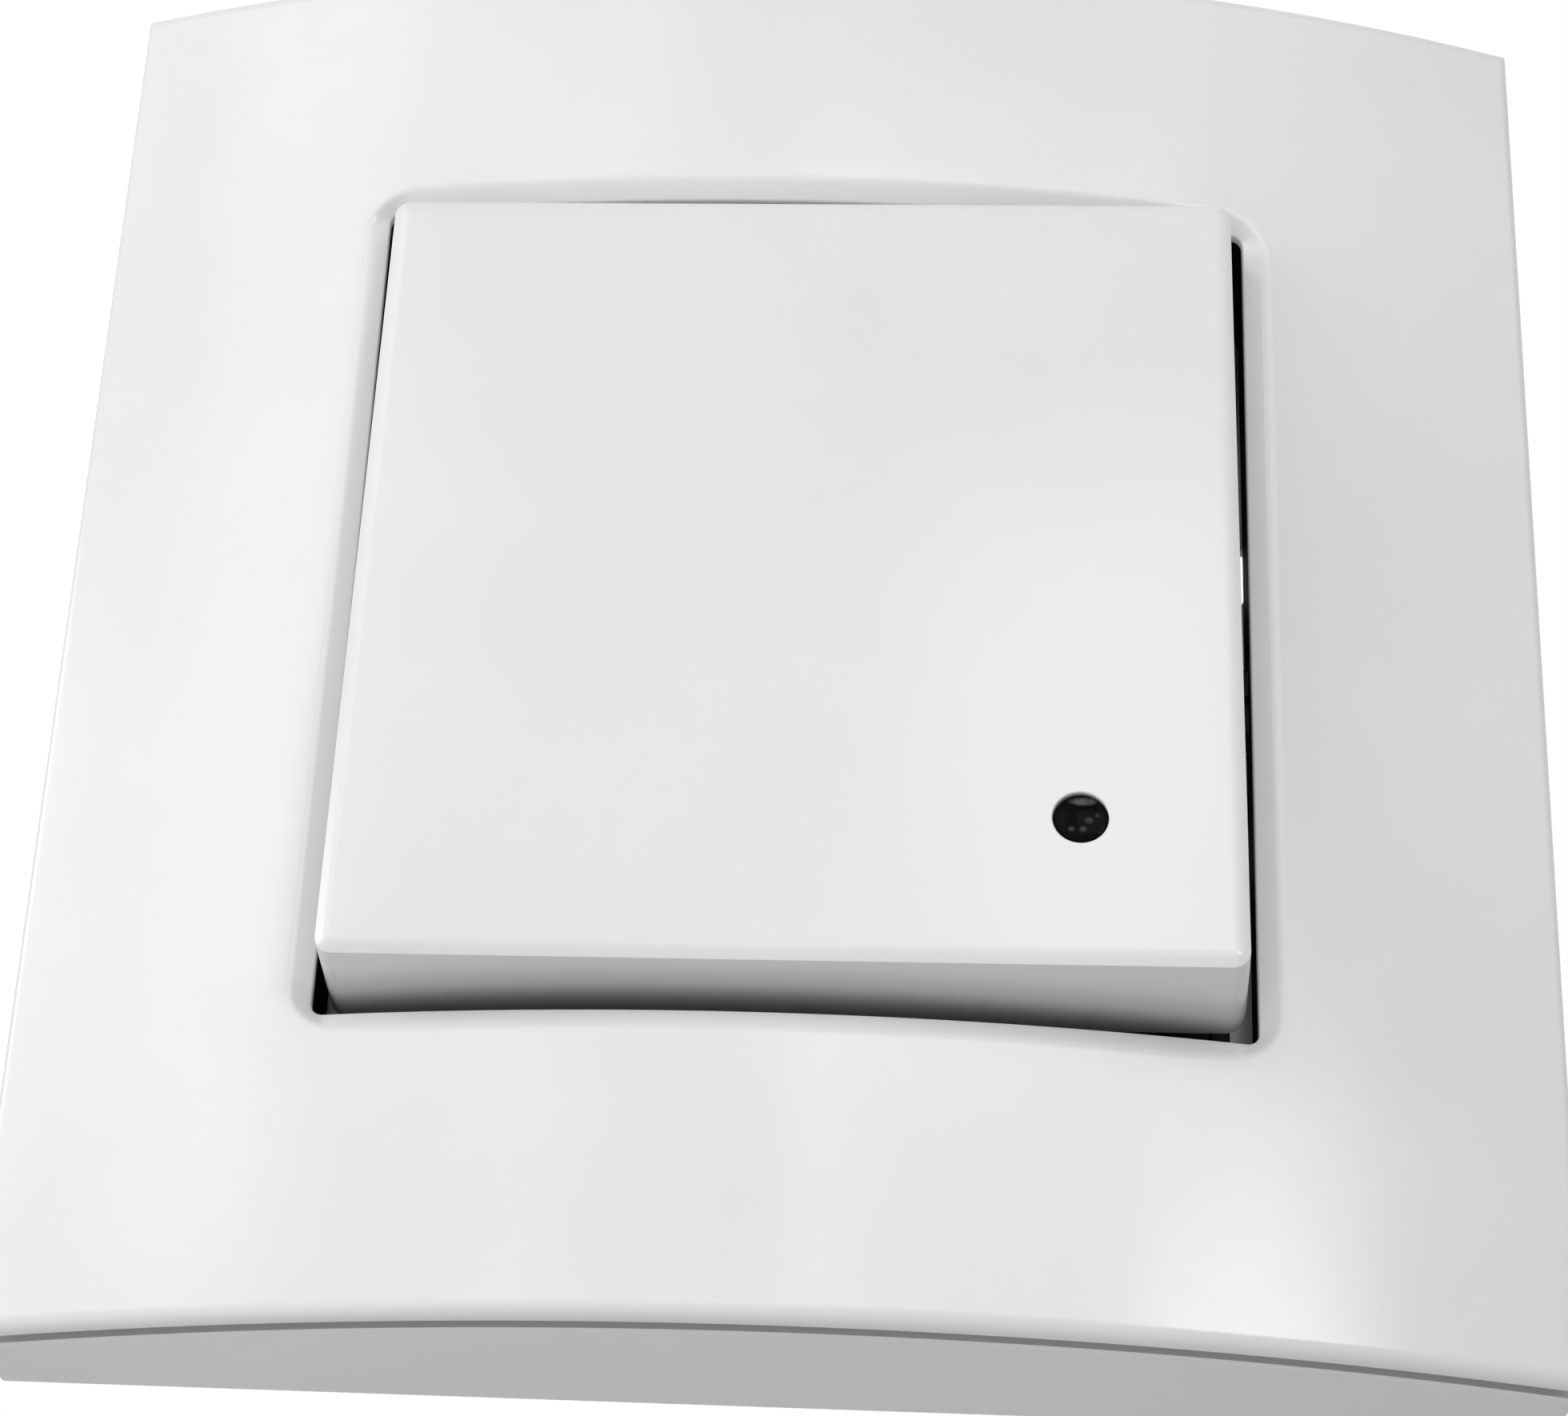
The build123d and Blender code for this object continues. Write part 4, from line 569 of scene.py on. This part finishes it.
def keyCap():
    cap = {
        "half": 23.65, "corner": 0.9, "draft": 2.0, "skirt": 8.0, "wall": 1.6, "top": 1.8,
        "crownIn": 0.62, "crownDrop": 0.33, "crownRound": 1.6, "crease": 0.06, "rimRound": 0.25,
        "hole": 1.45, "holeRight": 15.15, "holeUp": -15.46, "holeEdge": 0.06,
        "boss": 3.15, "bore": 2.25, "bossDepth": 3.0, "bossSides": 64,
        "legRight": 17.2, "legUp": 10.0, "legWide": 4.0, "legThick": 1.4,
        "hook": 0.8, "hookLong": 1.2,
        "ribRight": 19.2, "ribLong": 26.0, "ribThick": 1.2, "ribDepth": 3.75,
        "stations": 48, "bends": 8, "roundSteps": 8, "sink": 0.05,
        "margin": 3, "insideRound": 0.3, "leastCorner": 0.3, "skirtPaintedShade": 0.35, "belowCrease": 0.02,
    }
    place, legEnd = capPlace()
    half, top, skirt, wall = cap["half"], cap["top"], cap["skirt"], cap["wall"]
    stations = [2 * step / cap["stations"] - 1 for step in range(cap["stations"] + 1)]
    hole = Vector((cap["holeRight"], cap["holeUp"]))
    flare = math.tan(math.radians(cap["draft"])) * (skirt - cap["crownDrop"])

    def outline(out):
        corner = max(cap["corner"] + out, cap["leastCorner"])
        points = squareRound(half + out, half + out, corner, stations, cap["bends"])
        return [spot for spot, share in points]

    margin = cap["margin"]
    inner = outline(-margin)

    def holeRing(radius, level):
        spots = [hole + (spot - hole).normalized() * radius for spot in inner]
        return [Vector((*spot, level)) for spot in spots]

    run = roundedRun([
        (-margin, 0, 0), (-cap["crownIn"], 0, cap["crownRound"]),
        (0, -cap["crownDrop"], cap["crease"]), (flare, -skirt, cap["rimRound"]),
        (-wall, -skirt, cap["rimRound"]), (-wall, -top, cap["insideRound"]), (-margin, -top, 0),
    ], cap["roundSteps"])
    rings = [
        holeRing(cap["hole"], -top), holeRing(cap["hole"], -cap["holeEdge"]),
        holeRing(cap["hole"] + cap["holeEdge"], 0),
    ]
    # painted shade: the skirt below the crease gets part of the grey shade colour
    withPaintedShade = {}
    for out, level in run:
        if level < -cap["crownDrop"] - cap["belowCrease"]:
            withPaintedShade[len(rings)] = cap["skirtPaintedShade"]
        rings.append([Vector((*spot, level)) for spot in outline(out)])
    rings.append(rings[0])
    shape = bmesh.new()
    looped(shape, rings, withPaintedShade)
    ceiling = cap["sink"] - top
    for right in (-1, 1):
        for up in (-1, 1):
            legLow = right * cap["legRight"] - cap["legWide"] / 2
            legHigh = right * cap["legRight"] + cap["legWide"] / 2
            near = up * (cap["legUp"] - cap["legThick"] / 2)
            far = up * (cap["legUp"] + cap["legThick"] / 2)
            tip = up * (cap["legUp"] + cap["legThick"] / 2 + cap["hook"])
            block(shape, (legLow, min(near, far), legEnd), (legHigh, max(near, far), ceiling))
            block(
                shape, (legLow, min(near, tip), legEnd),
                (legHigh, max(near, tip), legEnd + cap["hookLong"]),
            )
        ribLow = right * cap["ribRight"] - cap["ribThick"] / 2
        block(
            shape, (ribLow, -cap["ribLong"] / 2, -cap["ribDepth"]),
            (ribLow + cap["ribThick"], cap["ribLong"] / 2, ceiling),
        )
    bossEnd = -top - cap["bossDepth"]
    corners = [
        (cap["bore"], ceiling), (cap["boss"], ceiling), (cap["boss"], bossEnd), (cap["bore"], bossEnd),
    ]
    spots = [shape.verts.new((hole.x + radius, hole.y, level)) for radius, level in corners]
    edges = [shape.edges.new((spots[index - 1], spots[index])) for index in range(4)]
    bmesh.ops.spin(
        shape, geom=spots + edges, cent=(*hole, 0), axis=(0, 0, 1), dvec=(0, 0, 0),
        angle=2 * math.pi, steps=cap["bossSides"], use_merge=True,
    )
    bmesh.ops.transform(shape, matrix=place, verts=shape.verts[:])
    finished("keyCap", shape, "white_cover", "key", "key_cap", sharpest=24)


keyCap()
print("key cap made")


# Indicator lens: a smoked plug whose nose fills the hole in the key

def indicatorLens():
    lens = lensShape
    nose, rim, rise = lens["nose"], lens["rim"], lens["crown"] - lens["rim"]
    domeRadius = (nose**2 + rise**2) / (2 * rise)
    edge = math.asin(nose / domeRadius)
    steps = lens["steps"]
    turns = [edge * lens["domeShare"] * (1 - step / steps) for step in range(steps + 1)]
    dome = [
        (domeRadius * math.sin(turn), lens["crown"] - domeRadius * (1 - math.cos(turn)))
        for turn in turns
    ]
    run = roundedRun([
        (0, 0, 0), (lens["plug"], 0, lens["soft"]), (lens["plug"], lens["seat"], lens["soft"]),
        (nose, lens["seat"], lens["shoulder"]), (nose, rim, lens["soft"]), (*dome[0], 0),
    ], lens["roundSteps"])
    shape = bmesh.new()
    spots = [shape.verts.new((x * milli, 0, up * milli)) for x, up in run + dome[1:]]
    edges = [shape.edges.new(pair) for pair in zip(spots, spots[1:])]
    bmesh.ops.spin(
        shape, geom=spots + edges, cent=(0, 0, 0), axis=(0, 0, 1), dvec=(0, 0, 0),
        angle=2 * math.pi, steps=lens["sides"], use_merge=True,
    )
    turn = lensOutward.to_track_quat("Z", "Y").to_matrix().to_4x4()
    bmesh.ops.transform(shape, matrix=Matrix.Translation(lensRear) @ turn, verts=shape.verts[:])
    finished("indicatorLens", shape, "smoked_lens", "key", "indicator_lens", sharpest=50)


indicatorLens()
print("indicator lens made")


# Return spring: round wire with closed ends, ground flat

def returnSpring():
    low, high = (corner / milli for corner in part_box("return_spring"))
    coil = {
        "wire": 0.25, "turns": 3.6, "closed": 1.1, "ground": 0.12, "clear": 0.02, "kept": 0.82,
        "steps": 30, "sides": 12,
    }
    centre = (low + high) / 2
    radius = (high.x - low.x) / 2 - coil["wire"] - coil["clear"]
    rear = high.y - coil["wire"] + coil["ground"]
    front = low.y + coil["wire"] - coil["ground"]
    shape = bmesh.new()
    start = Vector((centre.x + radius, rear, centre.z))
    bmesh.ops.create_circle(
        shape, segments=coil["sides"], radius=coil["wire"] * milli,
        matrix=Matrix.Translation(start * milli),
    )
    end = shape.verts[:] + shape.edges[:]
    closedRise = 2 * coil["wire"] * coil["closed"]
    for turns, rise in (
        (coil["closed"], closedRise),
        (coil["turns"], rear - front - 2 * closedRise),
        (coil["closed"], closedRise),
    ):
        steps = int(coil["steps"] * turns)
        end = bmesh.ops.spin(
            shape, geom=end, cent=Vector((centre.x, 0, centre.z)) * milli, axis=(0, -1, 0),
            dvec=(0, -rise * milli / steps, 0), angle=turns * 2 * math.pi, steps=steps,
        )["geom_last"]
    cutFlat(shape, (0, high.y * milli, 0), (0, 1, 0))
    cutFlat(shape, (0, low.y * milli, 0), (0, -1, 0))
    spring = finished("returnSpring", shape, "spring_steel", "insert", "return_spring")
    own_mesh(spring)


returnSpring()
print("return spring wound")


# Screws: the CAD heads with cut threads under them

def threadedScrews(name, node, along, under, tip, radius, pitch, spots):
    # the thread runs along the axis from under the head to the tip, round each spot
    thread = {
        "depth": 0.6, "crest": (0.38, 0.62), "sunk": 0.05, "steps": 24,
        "leadTurns": 2, "tailTurns": 1, "sameSpot": 1e-6,
    }
    core = radius - pitch * thread["depth"]
    shape = bmesh.new()
    shape.from_mesh(frame["nodes"][node].data)
    bmesh.ops.remove_doubles(shape, verts=shape.verts[:], dist=sameSpot)
    axis = Vector(along)
    cutFlat(shape, axis * under * milli, axis)
    across = axis.orthogonal().normalized()
    crestStart, crestEnd = thread["crest"]
    for spot in spots:
        ridge = bmesh.new()
        foot = Vector(spot) + axis * (under - thread["leadTurns"] * pitch)
        profile = [(core, 0), (radius, crestStart), (radius, crestEnd), (core, 1)]
        points = [
            ridge.verts.new((foot + across * reach + axis * pitch * up) * milli)
            for reach, up in profile
        ]
        edges = [ridge.edges.new(pair) for pair in zip(points, points[1:])]
        turns = math.ceil((tip - under) / pitch) + thread["leadTurns"] + thread["tailTurns"]
        bmesh.ops.spin(
            ridge, geom=points + edges, cent=Vector(spot) * milli, axis=axis,
            dvec=axis * pitch * milli / thread["steps"], angle=turns * 2 * math.pi,
            steps=turns * thread["steps"],
        )
        bmesh.ops.remove_doubles(ridge, verts=ridge.verts[:], dist=thread["sameSpot"])
        cutFlat(ridge, axis * (under - thread["sunk"]) * milli, -axis)
        cutFlat(ridge, axis * tip * milli, axis)
        bmesh.ops.recalc_face_normals(ridge, faces=ridge.faces[:])
        single = bpy.data.meshes.new("thread")
        ridge.to_mesh(single)
        ridge.free()
        shape.from_mesh(single)
        bpy.data.meshes.remove(single)
    # painted shade: the screws take the darkened copy of the zinc steel, for the dark gap they sit in
    finished(
        name, shape, "zinc_steel", "insert", node, sharpest=25, turnOut=False, look="dull_steel"
    )


clawScrews = {"right": 26.2, "under": -1.0, "tip": 14.4, "radius": 1.25, "pitch": 0.5}
threadedScrews(
    "clawScrews", "claw_screws", (0, 1, 0), clawScrews["under"], clawScrews["tip"],
    clawScrews["radius"], clawScrews["pitch"],
    [(-clawScrews["right"], 0, 0), (clawScrews["right"], 0, 0)],
)
terminalScrews = {"in": 2.6, "head": 1.5, "radius": 1.7, "pitch": 0.6}
low, high = (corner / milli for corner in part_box("terminal_screws"))
middle = (low + high) / 2
threadedScrews(
    "terminalScrews", "terminal_screws", (0, 0, 1), low.z + terminalScrews["head"], high.z,
    terminalScrews["radius"], terminalScrews["pitch"],
    [
        (x, middle.y, 0)
        for x in (low.x + terminalScrews["in"], middle.x, high.x - terminalScrews["in"])
    ],
)
print("screws threaded")


# Soft edges and even shading on the CAD nodes that stay

def softened(name, width):
    edge = {"merge": 0.000002, "plane": 0.3, "sharpest": 33, "segments": 2, "weight": 50}
    node = frame["nodes"][name]
    node.data.polygons.foreach_set("use_smooth", [True] * len(node.data.polygons))
    merged = node.modifiers.new("merged", "WELD")
    merged.merge_threshold = edge["merge"]
    planes = node.modifiers.new("planes", "DECIMATE")
    planes.decimate_type = "DISSOLVE"
    planes.angle_limit = math.radians(edge["plane"])
    if width:
        soft = node.modifiers.new("softEdges", "BEVEL")
        soft.width = width * milli
        soft.segments = edge["segments"]
        soft.limit_method = "ANGLE"
        soft.angle_limit = math.radians(edge["sharpest"])
        soft.use_clamp_overlap = True
    split = node.modifiers.new("sharpEdges", "EDGE_SPLIT")
    split.split_angle = math.radians(edge["sharpest"])
    even = node.modifiers.new("evenShade", "WEIGHTED_NORMAL")
    even.weight = edge["weight"]
    even.keep_sharp = True


edgeWidths = {
    "key_carrier": 0.12, "front_plate": 0.12, "rear_housing": 0.15,
    "support_ring": 0.1, "claw_left": 0.12, "claw_right": 0.12, "claw_nut_left": 0.15,
    "claw_nut_right": 0.15, "control_board": 0.06, "switch_body": 0.08, "trimmer_body": 0.15,
    "time_dial": 0.1, "relay": 0.2, "film_capacitor": 0.35, "electrolytic_capacitor": 0.12,
    "varistor": 0.25, "fuse": 0.2, "bridge_rectifier": 0.15, "voltage_regulator": 0.1,
    "dropper_resistor": 0.2, "microcontroller": 0.04, "chip_resistors": 0.05,
    "chip_capacitors": 0.08, "terminal_line": 0.08, "terminal_neutral": 0.08,
    "terminal_load": 0.08, "contact_bars": 0.08, "indicator_led": 0,
    "light_guide": 0.05, "switch_plunger": 0,
}
for name, width in edgeWidths.items():
    softened(name, width)
print("CAD nodes softened")


# Floor, lights and camera

def paleFloor():
    floorShape = {"size": 3.0, "below": 0.16, "color": (0.85, 0.85, 0.85, 1), "roughness": 0.8}
    low = cadBounds[0]
    mesh = bpy.data.meshes.new("paleFloor")
    shape = bmesh.new()
    bmesh.ops.create_grid(
        shape, x_segments=1, y_segments=1, size=floorShape["size"],
        matrix=Matrix.Translation((0, 0, low.z - floorShape["below"])),
    )
    shape.to_mesh(mesh)
    shape.free()
    floor = bpy.data.objects.new("paleFloor", mesh)
    bpy.context.scene.collection.objects.link(floor)
    finish = Finish("paleFloor")
    finish.close(Base_Color=floorShape["color"], Roughness=floorShape["roughness"])
    mesh.materials.append(finish.material)


def backdrop():
    # white where it is seen or mirrored, and dim as the light that it gives
    glow = {"seen": 1.0, "ambient": 0.196}
    world = bpy.data.worlds.new("whiteRoom")
    bpy.context.scene.world = world
    world.use_nodes = True
    tree = world.node_tree
    tree.nodes.clear()
    path = tree.nodes.new("ShaderNodeLightPath")
    seen = tree.nodes.new("ShaderNodeBackground")
    seen.inputs["Strength"].default_value = glow["seen"]
    seen.inputs["Color"].default_value = (1, 1, 1, 1)
    ambient = tree.nodes.new("ShaderNodeBackground")
    ambient.inputs["Strength"].default_value = glow["ambient"]
    ambient.inputs["Color"].default_value = (1, 1, 1, 1)
    either = path.outputs["Is Camera Ray"]
    for ray in ("Is Glossy Ray", "Is Transmission Ray"):
        most = tree.nodes.new("ShaderNodeMath")
        most.operation = "MAXIMUM"
        tree.links.new(either, most.inputs[0])
        tree.links.new(path.outputs[ray], most.inputs[1])
        either = most.outputs[0]
    mix = tree.nodes.new("ShaderNodeMixShader")
    tree.links.new(either, mix.inputs[0])
    tree.links.new(ambient.outputs[0], mix.inputs[1])
    tree.links.new(seen.outputs[0], mix.inputs[2])
    out = tree.nodes.new("ShaderNodeOutputWorld")
    tree.links.new(mix.outputs[0], out.inputs["Surface"])


def softLight(name, around, up, size, watts, shape):
    # around is measured from the room side towards the right, up from the level, both in degrees
    reach = 0.8  # metres from the origin
    lamp = bpy.data.lights.new(name, "AREA")
    lamp.shape = shape
    lamp.size = size
    lamp.energy = watts
    holder = bpy.data.objects.new(name, lamp)
    bpy.context.scene.collection.objects.link(holder)
    turn = math.radians(around)
    lift = math.radians(up)
    away = Vector((math.sin(turn) * math.cos(lift), -math.cos(turn) * math.cos(lift), math.sin(lift)))
    holder.location = away * reach
    holder.rotation_euler = away.to_track_quat("Z", "Y").to_euler()


def addCamera():
    shot = {
        "place": (0.003936, -0.186739, -0.091092),
        "look": (-0.02371, 0.89841, 0.43851),
        "upright": (-0.02994, -0.43908, 0.89795),
        "lens": 82.69, "sensor": 36, "near": 0.005, "far": 20,
    }
    lens = bpy.data.cameras.new("photoCamera")
    lens.lens = shot["lens"]
    lens.sensor_width = shot["sensor"]
    lens.clip_start = shot["near"]
    lens.clip_end = shot["far"]
    camera = bpy.data.objects.new("photoCamera", lens)
    bpy.context.scene.collection.objects.link(camera)
    look = Vector(shot["look"]).normalized()
    side = look.cross(Vector(shot["upright"])).normalized()
    upright = side.cross(look)
    turn = Matrix((side, upright, -look)).transposed().to_4x4()
    camera.matrix_world = Matrix.Translation(shot["place"]) @ turn
    bpy.context.scene.camera = camera


paleFloor()
backdrop()
lamps = {
    "farLeftSoftBox": (-70, 12, 0.4, 1.78, "SQUARE"),
    "leftSoftBox": (-50, 10, 0.4, 0.46, "SQUARE"),
    "leftHighSoftBox": (-50, 28, 0.4, 0.38, "SQUARE"),
    "nearLeftSoftBox": (-30, 28, 0.4, 0.43, "SQUARE"),
    "underLeftSoftBox": (-30, -8, 0.4, 0.14, "SQUARE"),
    "frontSoftBox": (12, 24, 0.35, 0.7, "SQUARE"),
    "frontLeftSoftBox": (-10, 24, 0.35, 0.25, "SQUARE"),
    "lowSoftBox": (-10, 2, 0.35, 0.26, "SQUARE"),
    "lowRightSoftBox": (12, 2, 0.35, 0.11, "SQUARE"),
    "rightSoftBox": (40, 35, 0.4, 0.32, "SQUARE"),
    "rightDisk": (30, 8, 0.22, 0.54, "DISK"),
    "rightHighDisk": (31, 14, 0.22, 0.22, "DISK"),
    "backSoftBox": (205, 30, 0.5, 1.6, "SQUARE"),
}  # around, up, size, watts and shape
for name, (around, up, size, watts, shape) in lamps.items():
    softLight(name, around, up, size, watts, shape)
addCamera()
bpy.context.scene.view_settings.view_transform = "Standard"
print("stage, lights and camera set")
